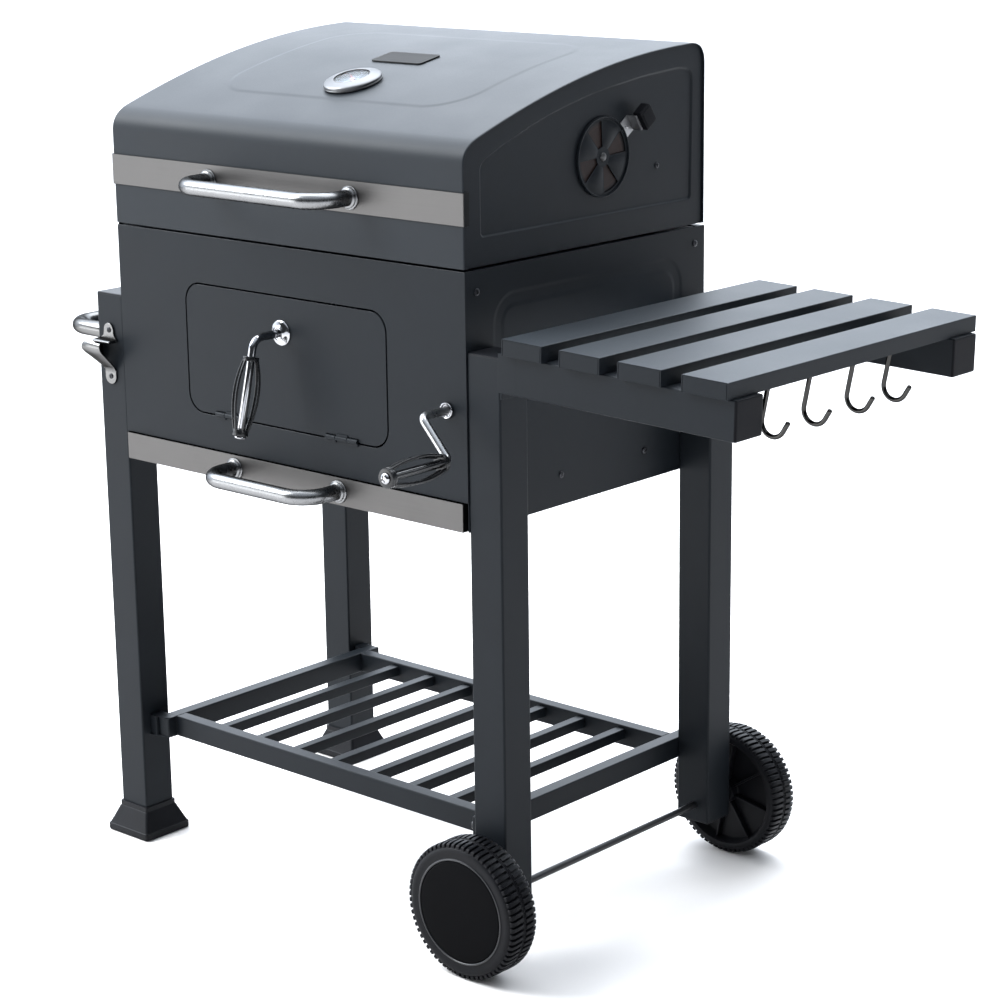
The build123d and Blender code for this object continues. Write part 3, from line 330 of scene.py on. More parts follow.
def lathe(profile, origin, direction, n=48, closed=False):
    """Turns (radius, along) points about direction at origin. closed: the profile is a loop."""
    d = Vector(direction).normalized()
    up = Vector((0, 0, 1)) if abs(d.z) < 0.9 else Vector((1, 0, 0))
    u = (up - d * up.dot(d)).normalized()
    v = d.cross(u)
    o = Vector(origin)
    bm = bmesh.new()
    rings = []
    for r, t in profile:
        if r < 1e-5:
            rings.append([bm.verts.new(o + d * t)])
        else:
            rings.append([bm.verts.new(o + d * t + (u * cos(2 * pi * k / n) + v * sin(2 * pi * k / n)) * r) for k in range(n)])
    pairs = list(zip(rings[:-1], rings[1:]))
    if closed:
        pairs.append((rings[-1], rings[0]))
    for a, b in pairs:
        for k in range(n):
            k2 = (k + 1) % n
            if len(a) == 1 and len(b) == 1:
                continue
            if len(a) == 1:
                bm.faces.new((a[0], b[k2], b[k]))
            elif len(b) == 1:
                bm.faces.new((a[k], a[k2], b[0]))
            else:
                bm.faces.new((a[k], a[k2], b[k2], b[k]))
    return clean(bm)


def loft(rings):
    """Closed body through rings of 3-D points."""
    bm = bmesh.new()
    rs = [[bm.verts.new(p) for p in r] for r in rings]
    for a, b in zip(rs[:-1], rs[1:]):
        n = len(a)
        for i in range(n):
            bm.faces.new((a[i], a[(i + 1) % n], b[(i + 1) % n], b[i]))
    bm.faces.new(rs[0])
    bm.faces.new(rs[-1])
    return clean(bm)


def boolean(a, b, op="DIFFERENCE"):
    """Exact boolean of two bmeshes; returns a new bmesh."""
    obs = []
    for i, s in enumerate((a, b)):
        me = bpy.data.meshes.new("bool%d" % i)
        s.to_mesh(me)
        s.free()
        ob = bpy.data.objects.new("bool%d" % i, me)
        scene.collection.objects.link(ob)
        obs.append(ob)
    m = obs[0].modifiers.new("b", "BOOLEAN")
    m.object = obs[1]
    m.operation = op
    m.solver = "EXACT"
    dg = bpy.context.evaluated_depsgraph_get()
    ev = obs[0].evaluated_get(dg)
    me = bpy.data.meshes.new_from_object(ev, depsgraph=dg)
    out = bmesh.new()
    out.from_mesh(me)
    bpy.data.meshes.remove(me)
    for ob in obs:
        data = ob.data
        bpy.data.objects.remove(ob)
        bpy.data.meshes.remove(data)
    return clean(out)


def emit(name, bag, mats, body, nodes=(), ang=32.0, wn=True):
    bm = bag.bm
    bmesh.ops.transform(bm, matrix=TO_M, verts=bm.verts)
    me = bpy.data.meshes.new(name)
    bm.to_mesh(me)
    bm.free()
    me.polygons.foreach_set("use_smooth", [True] * len(me.polygons))
    me.set_sharp_from_angle(angle=rad(ang))
    for m in mats if isinstance(mats, (list, tuple)) else [mats]:
        me.materials.append(m)
    ob = bpy.data.objects.new(name, me)
    scene.collection.objects.link(ob)
    if wn:
        w = ob.modifiers.new("weighted", "WEIGHTED_NORMAL")
        w.keep_sharp = True
        w.weight = 60
    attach(ob, body)
    if nodes:
        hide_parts(*nodes)
    return ob


# ================================================================== materials
class Mat:
    def __init__(self, name):
        self.m = bpy.data.materials.new(name)
        self.m.use_nodes = True
        self.t = self.m.node_tree
        self.p = self.t.nodes["Principled BSDF"]
        self.tc = self.t.nodes.new("ShaderNodeTexCoord")

    def coord(self, scale=(1, 1, 1)):
        mp = self.t.nodes.new("ShaderNodeMapping")
        mp.inputs["Scale"].default_value = scale
        self.t.links.new(self.tc.outputs["Object"], mp.inputs["Vector"])
        return mp.outputs["Vector"]

    def noise(self, scale, detail=3.0, rough=0.6, stretch=(1, 1, 1)):
        n = self.t.nodes.new("ShaderNodeTexNoise")
        n.inputs["Scale"].default_value = scale
        n.inputs["Detail"].default_value = detail
        n.inputs["Roughness"].default_value = rough
        self.t.links.new(self.coord(stretch), n.inputs["Vector"])
        return n.outputs["Fac"]

    def voronoi(self, scale):
        n = self.t.nodes.new("ShaderNodeTexVoronoi")
        n.inputs["Scale"].default_value = scale
        self.t.links.new(self.coord(), n.inputs["Vector"])
        return n.outputs["Distance"]

    def ramp(self, fac, stops):
        r = self.t.nodes.new("ShaderNodeValToRGB")
        e = r.color_ramp.elements
        while len(e) < len(stops):
            e.new(0.5)
        for el, (pos, col) in zip(e, stops):
            el.position = pos
            el.color = tuple(col) + (1.0,) if len(col) == 3 else col
        self.t.links.new(fac, r.inputs["Fac"])
        return r.outputs["Color"]

    def remap(self, fac, a, b, lo, hi):
        r = self.t.nodes.new("ShaderNodeMapRange")
        r.inputs["From Min"].default_value = a
        r.inputs["From Max"].default_value = b
        r.inputs["To Min"].default_value = lo
        r.inputs["To Max"].default_value = hi
        self.t.links.new(fac, r.inputs["Value"])
        return r.outputs["Result"]

    def add(self, a, b, wa=1.0, wb=1.0):
        m1 = self.t.nodes.new("ShaderNodeMath")
        m1.operation = "MULTIPLY"
        m1.inputs[1].default_value = wa
        self.t.links.new(a, m1.inputs[0])
        m2 = self.t.nodes.new("ShaderNodeMath")
        m2.operation = "MULTIPLY_ADD"
        m2.inputs[1].default_value = wb
        self.t.links.new(b, m2.inputs[0])
        self.t.links.new(m1.outputs[0], m2.inputs[2])
        return m2.outputs[0]

    def bump(self, h, strength, dist):
        b = self.t.nodes.new("ShaderNodeBump")
        b.inputs["Strength"].default_value = strength
        b.inputs["Distance"].default_value = dist
        self.t.links.new(h, b.inputs["Height"])
        self.t.links.new(b.outputs["Normal"], self.p.inputs["Normal"])

    def set(self, **kw):
        for k, v in kw.items():
            self.p.inputs[k.replace("_", " ")].default_value = v
        return self

    def link(self, out, socket):
        self.t.links.new(out, self.p.inputs[socket])


def tint(c, k):
    return tuple(min(1.0, x * k) for x in c)


def painted(name, col, r0=0.36, r1=0.46, spec=0.36, grain=0.22):
    """Fine-textured powder coating."""
    m = Mat(name)
    broad = m.noise(9.0, 3.0, 0.55)
    fine = m.noise(620.0, 3.0, 0.65)
    m.link(m.ramp(m.add(broad, fine, 0.6, 0.4), [(0.32, tint(col, 0.84)), (0.52, col), (0.72, tint(col, 1.2))]), "Base Color")
    m.link(m.remap(m.add(broad, fine, 0.5, 0.5), 0.3, 0.7, r0, r1), "Roughness")
    peel = m.noise(210.0, 2.0, 0.5)
    m.bump(m.add(peel, fine, 0.6, 0.6), grain, 0.00012)
    m.set(Specular_IOR_Level=spec)
    return m.m


def chrome(name, col=(0.80, 0.80, 0.81), r0=0.045, r1=0.11, rim=1.0):
    m = Mat(name)
    n = m.noise(60.0, 4.0, 0.6)
    fine = m.noise(900.0, 2.0, 0.5)
    m.link(m.ramp(n, [(0.3, tint(col, 0.93)), (0.6, col)]), "Base Color")
    m.link(m.remap(m.add(n, fine, 0.7, 0.3), 0.35, 0.7, r0, r1), "Roughness")
    m.bump(m.noise(35.0, 2.0, 0.5), 0.05, 0.0002)
    m.set(Metallic=1.0, Specular_Tint=(rim, rim, rim, 1.0))
    return m.m


def brushed(name, col, stretch, r0=0.30, r1=0.44, rim=1.0):
    m = Mat(name)
    streak = m.noise(1.0, 4.0, 0.7, stretch)
    cloud = m.noise(14.0, 3.0, 0.6)
    m.link(m.ramp(m.add(streak, cloud, 0.5, 0.5), [(0.3, tint(col, 0.86)), (0.5, col), (0.7, tint(col, 1.08))]), "Base Color")
    m.link(m.remap(m.add(streak, cloud, 0.6, 0.4), 0.3, 0.7, r0, r1), "Roughness")
    m.bump(streak, 0.16, 0.00006)
    m.set(Metallic=1.0, Specular_Tint=(rim, rim, rim, 1.0))
    return m.m


def moulded(name, col, r0=0.40, r1=0.55, grain=0.25, spec=0.4):
    m = Mat(name)
    fine = m.noise(1100.0, 2.0, 0.6)
    broad = m.noise(22.0, 3.0, 0.6)
    m.link(m.ramp(broad, [(0.3, tint(col, 0.8)), (0.65, tint(col, 1.15))]), "Base Color")
    m.link(m.remap(m.add(fine, broad, 0.5, 0.5), 0.3, 0.7, r0, r1), "Roughness")
    m.bump(fine, grain, 0.00008)
    m.set(Specular_IOR_Level=spec)
    return m.m


def rough_iron(name, col, r0=0.38, r1=0.6, depth=0.0004, metal=0.0):
    m = Mat(name)
    n1 = m.noise(160.0, 5.0, 0.65)
    n2 = m.noise(18.0, 3.0, 0.6)
    m.link(m.ramp(m.add(n1, n2, 0.5, 0.5), [(0.3, tint(col, 0.75)), (0.5, col), (0.72, tint(col, 1.35))]), "Base Color")
    m.link(m.remap(n1, 0.3, 0.7, r0, r1), "Roughness")
    m.bump(n1, 0.35, depth)
    m.set(Metallic=metal)
    return m.m


def plated(name, col=(0.62, 0.63, 0.64), r0=0.22, r1=0.38):
    m = Mat(name)
    n = m.noise(130.0, 4.0, 0.6)
    m.link(m.ramp(n, [(0.3, tint(col, 0.82)), (0.7, tint(col, 1.05))]), "Base Color")
    m.link(m.remap(n, 0.3, 0.7, r0, r1), "Roughness")
    m.bump(n, 0.12, 0.00008)
    m.set(Metallic=1.0)
    return m.m


PAINT = (0.0099, 0.0127, 0.0161)
M_PAINT = painted("powder_coat", (0.0076, 0.0096, 0.0121), 0.40, 0.50, 0.095)
# lighter, glossier paint for the rounded outside edges: a painted highlight
M_EDGE_HIGHLIGHT = painted("powder_coat_painted_edge_highlight", (0.0135, 0.0155, 0.0180), 0.36, 0.46, 0.42)
M_LID = painted("powder_coat_lid", PAINT, 0.46, 0.56, 0.15)
# lighter paint for the up-facing slat tops: a painted highlight
M_SLAT_TOP_LIT = painted("powder_coat_slat_tops_painted_highlight", (0.0160, 0.0200, 0.0246), 0.50, 0.60, 0.17, 0.14)
M_CHROME = chrome("chrome", (0.42, 0.42, 0.433), 0.08, 0.15, 0.30)
M_CRANK = chrome("chrome_crank", (0.46, 0.465, 0.47), 0.26, 0.34, 0.45)
# darker chrome for the rod inside the grip: painted shade under the cage
M_ROD_SHADED_IN_GRIP = chrome("chrome_painted_shade_in_grip", (0.13, 0.131, 0.134), 0.10, 0.18, 0.2)
M_CHROME_T = chrome("chrome_tube", (0.205, 0.206, 0.209), 0.24, 0.32, 0.18)
M_CHROME_B = chrome("chrome_bent", (0.150, 0.149, 0.148), 0.20, 0.28, 0.20)
M_HOOK = chrome("chrome_dark", (0.042, 0.0405, 0.039), 0.12, 0.20, 0.10)
M_STEEL_X = brushed("stainless_brushed", (0.084, 0.081, 0.079), (2.2, 2.2, 1500.0), 0.36, 0.50)
# dark steel for the trim bands' top, bottom and end faces: painted shade
M_RETURN_SHADE = brushed("stainless_painted_shade_return", (0.014, 0.0145, 0.015), (2.2, 2.2, 1500.0), 0.40, 0.52)
M_PLATE = brushed("stainless_plate", (0.062, 0.0615, 0.061), (3.0, 900.0, 3.0), 0.34, 0.46, 0.38)
M_BEZEL = brushed("bezel_satin", (0.150, 0.151, 0.154), (6.0, 6.0, 700.0), 0.32, 0.44, 0.50)
M_PLASTIC = moulded("black_plastic", (0.0046, 0.0048, 0.0062), 0.42, 0.56, 0.25, 0.055)
M_FOOT = moulded("foot_plastic", (0.0058, 0.0063, 0.0080), 0.42, 0.56, 0.25, 0.12)
M_WHEEL = moulded("wheel_plastic", (0.0044, 0.0046, 0.0060), 0.38, 0.55, 0.3, 0.11)
M_CAP = moulded("wheel_cap", (0.0013, 0.0014, 0.0019), 0.40, 0.55, 0.3, 0.03)
M_CAPLINE = moulded("wheel_cap_edge", (0.012, 0.0125, 0.0145), 0.30, 0.42, 0.1, 0.4)
M_CAGE = moulded("cage_black", (0.0060, 0.0064, 0.0072), 0.22, 0.32, 0.1, 0.34)
M_SCREW = plated("black_zinc", (0.045, 0.046, 0.05), 0.3, 0.45)
M_ZINC = plated("zinc")
M_BOLT = plated("zinc_dark", (0.035, 0.036, 0.038), 0.34, 0.5)
M_TAB = plated("tab_zinc", (0.30, 0.30, 0.305), 0.35, 0.5)
M_RIVET = plated("rivet_dull", (0.10, 0.10, 0.10), 0.4, 0.55)
M_IRON = rough_iron("enamelled_iron", (0.012, 0.0118, 0.0115))
M_ENAMEL = rough_iron("enamelled_steel", (0.011, 0.011, 0.012), 0.2, 0.34, 0.00006)
M_INSIDE = painted("inside_coat", (0.014, 0.0135, 0.013), 0.5, 0.62)
M_AXLE = painted("axle_coat", (0.010, 0.010, 0.011), 0.35, 0.45)


def face_paint(name, col, rough):
    m = Mat(name)
    n = m.noise(240.0, 3.0, 0.6)
    m.link(m.ramp(n, [(0.3, tint(col, 0.95)), (0.7, col)]), "Base Color")
    m.link(m.remap(n, 0.3, 0.7, rough, rough + 0.08), "Roughness")
    return m.m


M_DIAL = face_paint("dial_face", (0.060, 0.075, 0.090), 0.6)
M_TICK = face_paint("dial_print", (0.02, 0.02, 0.025), 0.4)
M_NEEDLE = face_paint("needle_paint", (0.35, 0.015, 0.012), 0.3)


def glass():
    m = Mat("clear_glass")
    n = m.noise(40.0, 3.0, 0.6)
    m.link(m.remap(n, 0.3, 0.7, 0.02, 0.05), "Roughness")
    m.set(Transmission_Weight=1.0, IOR=1.06, Base_Color=(0.93, 0.96, 0.98, 1.0))
    return m.m


M_GLASS = glass()


def browned_and_shaded_end():
    """Powder coating that heat has browned round the vent openings; elsewhere its base tone is darker than the lid's, a
    painted shade on the end faces.
    """
    m = Mat("powder_coat_lid_end_browned_painted_shade")
    col = (0.0082, 0.0103, 0.0130)
    fine = m.noise(620.0, 3.0, 0.65)
    broad = m.noise(40.0, 3.0, 0.6)
    mix = m.add(broad, fine, 0.6, 0.4)
    d = m.t.nodes.new("ShaderNodeVectorMath")
    d.operation = "DISTANCE"
    d.inputs[1].default_value = ((299.0 + SX) / 1000, (27.5 + SY) / 1000, 0.9465)
    m.t.links.new(m.tc.outputs["Object"], d.inputs[0])
    near = m.remap(d.outputs["Value"], 0.036, 0.050, 0.0, 1.0)
    m.link(m.ramp(m.add(mix, near, 0.12, 0.86), [(0.035, (0.013, 0.0085, 0.0075)), (0.085, (0.026, 0.0145, 0.0125)), (0.45, (0.012, 0.0110, 0.0115)), (0.895, tint(col, 0.84)), (0.92, col), (0.95, tint(col, 1.2))]), "Base Color")
    m.link(m.remap(mix, 0.3, 0.7, 0.40, 0.50), "Roughness")
    m.bump(m.add(m.noise(210.0, 2.0, 0.5), fine, 0.6, 0.6), 0.22, 0.00012)
    m.set(Specular_IOR_Level=0.13)
    return m.m


M_LIDEND_BROWNED_SHADED = browned_and_shaded_end()


# ===================================================================== screws
def screw_head(r=4.2, h=1.9):
    prof = [(0.0, h)]
    for k in range(1, 7):
        a = pi / 2 * k / 6
        prof.append((r * sin(a), h * (0.45 + 0.55 * cos(a))))
    prof += [(r, 0.0), (0.0, 0.0)]
    a = lathe(prof, (0, 0, 0), (0, 0, 1), 32)
    b = plate([(x * r * 0.62, y * r * 0.62) for x, y in ((-1, -.22), (-.22, -.22), (-.22, -1), (.22, -1), (.22, -.22), (1, -.22), (1, .22), (.22, .22), (.22, 1), (-.22, 1), (-.22, .22), (-1, .22))],
              "z", h * 0.35, h + 1.0, bev=0.0)
    return boolean(a, b)


_head = bpy.data.meshes.new("head")
_tmp = screw_head()
_tmp.to_mesh(_head)
_tmp.free()


def screw(bag, pos, d, r=4.2, turn=20.0, mi=0):
    bm = bmesh.new()
    bm.from_mesh(_head)
    q = Vector((0, 0, 1)).rotation_difference(Vector(d)).to_matrix().to_4x4()
    m = Matrix.Translation(pos) @ q @ Matrix.Rotation(rad(turn), 4, "Z") @ Matrix.Scale(r / 4.2, 4)
    bag.add(bm, m, mi)


# ======================================================================= legs
LX0, LX1 = HW, HW + 50.0
LY0, LY1 = 174.0, 222.0


def leg(sx, sy, z0):
    xa, xb = (LX0, LX1) if sx > 0 else (-LX1, -LX0)
    ya, yb = (LY0, LY1) if sy > 0 else (-LY1, -LY0)
    return plate(rrect(xa, xb, ya, yb, 2.6, 5), "z", z0, 746.0, holes=[rrect(xa + 1.5, xb - 1.5, ya + 1.5, yb - 1.5, 1.4, 3)], bev=0.35, seg=1, ang=60)


b = Bag()
for sy in (-1, 1):
    b.add(leg(-1, sy, 3.0))
emit("leg_tubes_left", b, M_PAINT, "cart", ["legs_left"])
b = Bag()
for sy in (-1, 1):
    b.add(leg(1, sy, 65.0))
emit("leg_tubes_right", b, M_PAINT, "cart", ["legs_right"])

b = Bag()
for sx in (-1, 1):
    for sy in (-1, 1):
        xa, xb = (LX0, LX1) if sx > 0 else (-LX1, -LX0)
        ya, yb = (LY0, LY1) if sy > 0 else (-LY1, -LY0)

        def R(i, z, r=2.6):
            return [Vector((p[0], p[1], z)) for p in rrect(xa + i, xb - i, ya + i, yb - i, max(0.6, r - i * 0.5), 5)]

        b.add(loft([R(0.15, 746.05), R(0.15, 747.0), R(0.5, 747.8), R(1.3, 748.3), R(2.4, 748.5)]))
        b.add(loft([R(1.8, 736.0), R(1.7, 746.0)]))
        if sx > 0:
            b.add(loft([R(2.2, 62.5), R(0.9, 62.6), R(0.2, 63.3), R(0.2, 64.95)]))
            b.add(loft([R(1.7, 65.0), R(1.7, 73.0)]))
emit("leg_plugs", b, M_FOOT, "cart", ["leg_caps"])

b = Bag()
for sy in (-1, 1):
    ya, yb = (LY0, LY1) if sy > 0 else (-LY1, -LY0)
    cx, cy = -(LX0 + LX1) / 2, (ya + yb) / 2

    def F(w, d, z, r=4.0):
        return [Vector((p[0], p[1], z)) for p in rrect(cx - w / 2, cx + w / 2, cy - d / 2, cy + d / 2, r, 6)]

    b.add(loft([F(77.6, 75.6, 0.0), F(79.2, 77.2, 0.5), F(80, 78, 1.6), F(80, 78, 8.6), F(79.6, 77.6, 9.4), F(78.4, 76.4, 9.8),
                F(77.4, 75.4, 10.2), F(70.2, 68.2, 18.2), F(63.4, 61.4, 26.4), F(57.0, 55.0, 34.0), F(55.2, 53.2, 35.0), F(54.5, 52.5, 35.4, 3.0),
                F(54.5, 52.5, 36.0, 3.0), F(54.5, 52.5, 41.2, 3.0), F(54.1, 52.1, 41.8, 3.0), F(53.2, 51.2, 42.0, 3.0)]))
emit("foot_shoes", b, M_FOOT, "cart", ["feet"])

# =============================================================== bottom shelf
b = Bag()
b.add(box(-289, -270, -189.5, 203, 144, 172, 1.6, 3))
for y0, z0, z1 in ((-205.0, 170.4, 172.0), (-205.0, 144.0, 145.6)):
    b.add(plate(fillet_closed([(-289.4, y0), (-276.0, y0), (-270.2, y0 + 6.0), (-270.2, -188.6), (-289.4, -188.6)], [0.5, 6.0, 5.0, 0.5, 0.5]), "z", z0, z1, bev=0.5, seg=2))
b.add(box(-289.2, -271.8, -203.2, -201.7, 145.0, 171.0, 0.5))
b.add(box(-272.0, -270.5, -202.6, -189.0, 145.0, 171.0, 0.5))
b.add(box(283, 302, -205, 203, 144, 172, 1.6, 3))
b.add(box(-270.4, 283.4, -189.5, -171, 144, 172, 1.6, 3))
b.add(box(-270.4, 283.4, 165, 183.5, 144, 172, 1.6, 3))
for y0, y1 in ((-209.0, -187.0), (183.0, 205.0)):
    # channel bracket: two thin flanges with rounded ends, tied by a web set back from their edge
    flange = fillet_closed([(-302, y0 + 0.2), (-292.5, y0 + 0.2), (-289.1, y0 + 3.4), (-289.1, y1 - 3.4), (-292.5, y1 - 0.2), (-302, y1 - 0.2)], [1.0, 3.5, 2.5, 2.5, 3.5, 1.0])
    b.add(plate(flange, "z", 170.4, 172.0, bev=0.5, seg=2))
    b.add(plate(flange, "z", 144.0, 145.6, bev=0.5, seg=2))
    b.add(box(-301.9, -300.2, y0 + 1.5, y1 - 1.5, 145.0, 171.0, 0.5))
    b.add(box(-290.8, -289.1, y0 + 3.2, y1 - 3.5, 145.0, 171.0, 0.5))
    b.add(box(-301.9, -289.8, y0 + 1.4, y0 + 2.9, 145.0, 171.0, 0.5))
emit("shelf_rails", b, M_PAINT, "cart", ["shelf_frame"])

b = Bag()
for i in range(7):
    xc = -270 + (283 + 270) * (i + 1) / 8
    b.add(box(xc - 7, xc + 7, -171.2, 165.2, 154, 168, 1.2, 3))
emit("shelf_slats", b, M_PAINT, "cart", ["shelf_bars"])

# ======================================================================= axle
b = Bag()
b.add(sweep(line_pts((330, -274.6, 85), (330, 274.6, 85), 2), 4.5, 28), mi=0)
for s in (-1, 1):
    b.add(lathe([(4.6, 0.2), (8.4, 0.2), (9.0, 0.8), (9.0, 12.4), (8.4, 13.0), (4.6, 13.0)], (330, s * 222.0, 85), (0, s, 0), 32, closed=True), mi=1)
    b.add(plate([(330 + 8.6 * cos(rad(60 * k)), 85 + 8.6 * sin(rad(60 * k))) for k in range(6)], "y", s * 268.6, s * 274.4, bev=0.5), mi=1)
emit("axle_rod", b, [M_AXLE, M_ZINC], "cart", ["axle"])


# ===================================================================== wheels
def wheel(s):
    bag = Bag()
    # body of the wheel: tyre carcass, outer dish and inner web, as one turned loop
    prof = [(4.6, 235.7), (15.4, 235.7), (16.0, 236.3), (16.4, 246.6), (18.0, 248.0), (66.0, 248.0), (68.0, 246.0), (70.2, 238.0), (71.5, 236.2),
            (74.5, 235.6), (77.5, 236.0), (79.6, 237.6), (80.9, 240.4), (81.4, 244.0), (81.5, 252.0),
            (81.6, 256.2), (82.2, 256.7), (83.6, 257.0), (84.1, 257.4), (84.1, 258.1), (83.3, 258.4), (83.3, 259.6), (84.1, 259.9), (84.1, 260.6), (83.6, 261.0), (82.2, 261.3), (81.6, 261.8),
            (81.5, 266.0), (81.4, 273.5), (80.9, 277.0), (79.8, 279.4), (78.0, 280.9), (75.6, 281.6), (71.5, 281.5), (67.4, 280.9), (66.4, 281.0), (65.8, 281.6),
            (64.9, 282.0), (64.1, 281.9), (63.6, 281.4), (63.4, 280.2), (63.2, 279.7), (62.9, 280.2), (62.6, 280.9), (61.8, 281.3), (60.2, 281.4), (40.0, 281.5), (16.0, 281.6), (0.0, 281.6)]
    disc = lathe([(r, t * 1.0) for r, t in prof], (330, 0, 85), (0, s, 0), 128)
    for f in disc.faces:
        m_ = f.calc_center_median()
        rr_ = math.hypot(m_.x - 330, m_.z - 85)
        f.material_index = 1 if rr_ < 62.7 and abs(m_.y) > 270 else (2 if 63.5 < rr_ < 66.0 and abs(m_.y) > 281.2 else 0)
    bag.add(disc, mi=None)
    # close the bore on the inner side
    bag.add(lathe([(4.58, 235.7), (4.58, 268.0), (15.0, 268.0), (15.0, 262.0), (58.0, 262.0), (58.0, 276.5), (10.0, 276.8), (4.58, 270.0)], (330, 0, 85), (0, s, 0), 48, closed=True))
    for k in range(8):
        rib = box(15.5, 69.0, 240.5, 249.0, -1.3, 1.3, 0.5)
        bag.add(rib, Matrix.Translation((330, 0, 85)) @ Matrix.Rotation(rad(45 * k + 11), 4, "Y") @ Matrix.Diagonal((1, s, 1, 1)))
    # tread blocks, two rows, the second half a pitch on
    N = 66
    for row, (ya, yb, yo) in enumerate(((256.4, 242.0, 237.6), (261.6, 276.0, 280.4))):
        for k in range(N):
            a = 2 * pi * (k + 0.5 * row) / N
            hw = pi / N * 0.58
            sk = (0.018 if row else -0.018)
            bm = bmesh.new()
            grid = []
            for yy, rt, sh in ((ya, 84.7, 0.0), (ya + (yb - ya) * 0.55, 85.0, sk * 0.6), (yb, 84.8, sk), ((yb + yo) / 2, 84.2, sk), (yo, 82.9, sk)):
                rowv = []
                for da, dr in ((-hw * 1.18, None), (-hw, 0.0), (hw, 0.0), (hw * 1.18, None)):
                    rr = (rt + dr) if dr is not None else 80.0
                    if dr is None and yy == yo:
                        rr = 79.0
                    t = a + sh + da
                    rowv.append(bm.verts.new((330 + rr * sin(t), s * yy, 85 + rr * cos(t))))
                grid.append(rowv)
            for g0, g1 in zip(grid[:-1], grid[1:]):
                for j in range(3):
                    bm.faces.new((g0[j], g0[j + 1], g1[j + 1], g1[j]))
                bm.faces.new((g0[3], g0[0], g1[0], g1[3]))
            bm.faces.new(grid[0])
            bm.faces.new(list(reversed(grid[-1])))
            clean(bm)
            bevel(bm, 0.35, 1, 40)
            bag.add(bm)
    return bag


emit("wheel_front", wheel(-1), [M_WHEEL, M_CAP, M_CAPLINE], "front_wheel", ["front_wheel"], wn=False, ang=30)
emit("wheel_rear", wheel(1), [M_WHEEL, M_CAP, M_CAPLINE], "rear_wheel", ["rear_wheel"], wn=False, ang=30)

# ============================================================== front of body
DX0, DX1, DZ0, DZ1, DR = -174.0, 174.0, 616.0, 779.0, 24.0
b = Bag()
hole = rrect(DX0 - 2.4, DX1 + 2.4, DZ0 - 2.4, DZ1 + 2.4, DR + 2, 12)


def outside(e):
    return all(abs(v.co.y + HD) < 1e-4 for v in e.verts)


crank_hole = circle(272, 677, 8.2, 24)


def edge_highlight_faces(bm):
    """The rounding along the outside edges gets its own slot, a lighter, glossier paint: a painted highlight along the
    edges.
    """
    bm.normal_update()
    for f in bm.faces:
        f.material_index = 1 if 0.05 < abs(f.normal.y) < 0.96 and f.calc_center_median().y < -HD + 1.26 else 0
    return bm


b.add(edge_highlight_faces(plate(rrect(-HW + 1.3, HW, Z_FRONT_BOT, Z_TOP, 0.8, 2), "y", -HD, -HD + 1.5, holes=[hole, crank_hole], bev=1.25, seg=4, ang=60, pick=outside)), mi=None)
# short turned-up lip that closes the front left corner under the lid
b.add(box(-HW + 1.7, -HW + 2.9, -HD + 1.7, -HD + 60.0, Z_TOP - 2.0, LID_Z0 - 0.25, 0.3))
# turned edge round the door opening
b.add(plate(rrect(DX0 - 3.6, DX1 + 3.6, DZ0 - 3.6, DZ1 + 3.6, DR + 3, 12), "y", -HD + 0.9, -HD + 6.0, holes=[rrect(DX0 - 2.4, DX1 + 2.4, DZ0 - 2.4, DZ1 + 2.4, DR + 2, 12)], bev=0.3, seg=1, ang=60))
b.add(box(-HW + 1.0, HW - 1.0, -HD + 0.8, -HD + 12, Z_TOP - 1.5, Z_TOP, 0.5))
for s in (-1, 1):
    b.add(box(s * (HW - 3.0), s * (HW - 1.6), -HD + 1.2, -HD + 20, Z_FRONT_BOT, Z_TOP - 1.5, 0.4))
    for a0, a1 in ((10.2, 27.0), (-27.0, -10.2)):
        b.add(lathe([(0, 0.0), (2.6, 0.0), (3.0, 0.4), (3.0, 16.4), (2.6, 16.8), (0, 16.8)], (s * 98 + a0, -225, 616.8), (1, 0, 0), 24))
        b.add(box(s * 98 + a0, s * 98 + a1, -225.6, -222.6, 611.0, 616.0, 0.6))
emit("firebox_front", b, [M_PAINT, M_EDGE_HIGHLIGHT], "cart", ["front_panel"])

# rear
b = Bag()
b.add(plate(rrect(-HW, HW, Z_SIDE_BOT, Z_TOP, 0.8, 2), "y", HD - 1.5, HD, holes=[circle(272, 677, 8.2, 24)], bev=0.55, seg=3, ang=60))
b.add(box(-HW + 1.0, HW - 1.0, HD - 12, HD - 0.8, Z_TOP - 1.5, Z_TOP, 0.5))
for s in (-1, 1):
    b.add(box(s * (HW - 3.0), s * (HW - 1.6), HD - 20, HD - 1.2, Z_SIDE_BOT, Z_TOP - 1.5, 0.4))
emit("firebox_rear", b, M_PAINT, "cart", ["rear_panel"])

# sides, with a pressed channel round the field
b = Bag()
for s in (-1, 1):
    outer = rrect(-HD + 1.6, HD - 1.6, Z_SIDE_BOT, Z_TOP, 0.8, 2)
    feat = rrect(-178.0, 180.0, 672.0, 811.0, 40.0, 12)
    steps = slope(7.0, 0.0, -0.6, 0.0, 5) + slope(7.0, -0.6, 0.0, 15.0, 5)
    b.add(relief(outer, feat, steps, "x", s * HW, s, thick=1.5, bev=0.55, seg=3))
    b.add(box(s * (HW - 14), s * (HW - 0.9), -HD + 20, HD - 20, Z_TOP - 1.5, Z_TOP - 0.02, 0.5))
emit("firebox_sides", b, M_PAINT, "cart", ["side_panels"])

b = Bag()
for s in (-1, 1):
    for y, z in ((-204.0, 816.0), (204.0, 820.0), (-57.0, 572.0), (103.0, 572.0)):
        screw(b, (s * HW, y, z), (s, 0, 0), 4.2, 20 + y)
    for y in (-204.0, 204.0):
        screw(b, (s * (HW - 3.0), y, 640.0), (-s, 0, 0), 4.2)
for z in (700.0, 638.5):
    screw(b, (-327.5, -224.5, z), (0, -1, 0), 3.6, 35 if z > 660 else -15)
emit("sheet_screws", b, M_SCREW, "cart", ["body_screws"], wn=False)

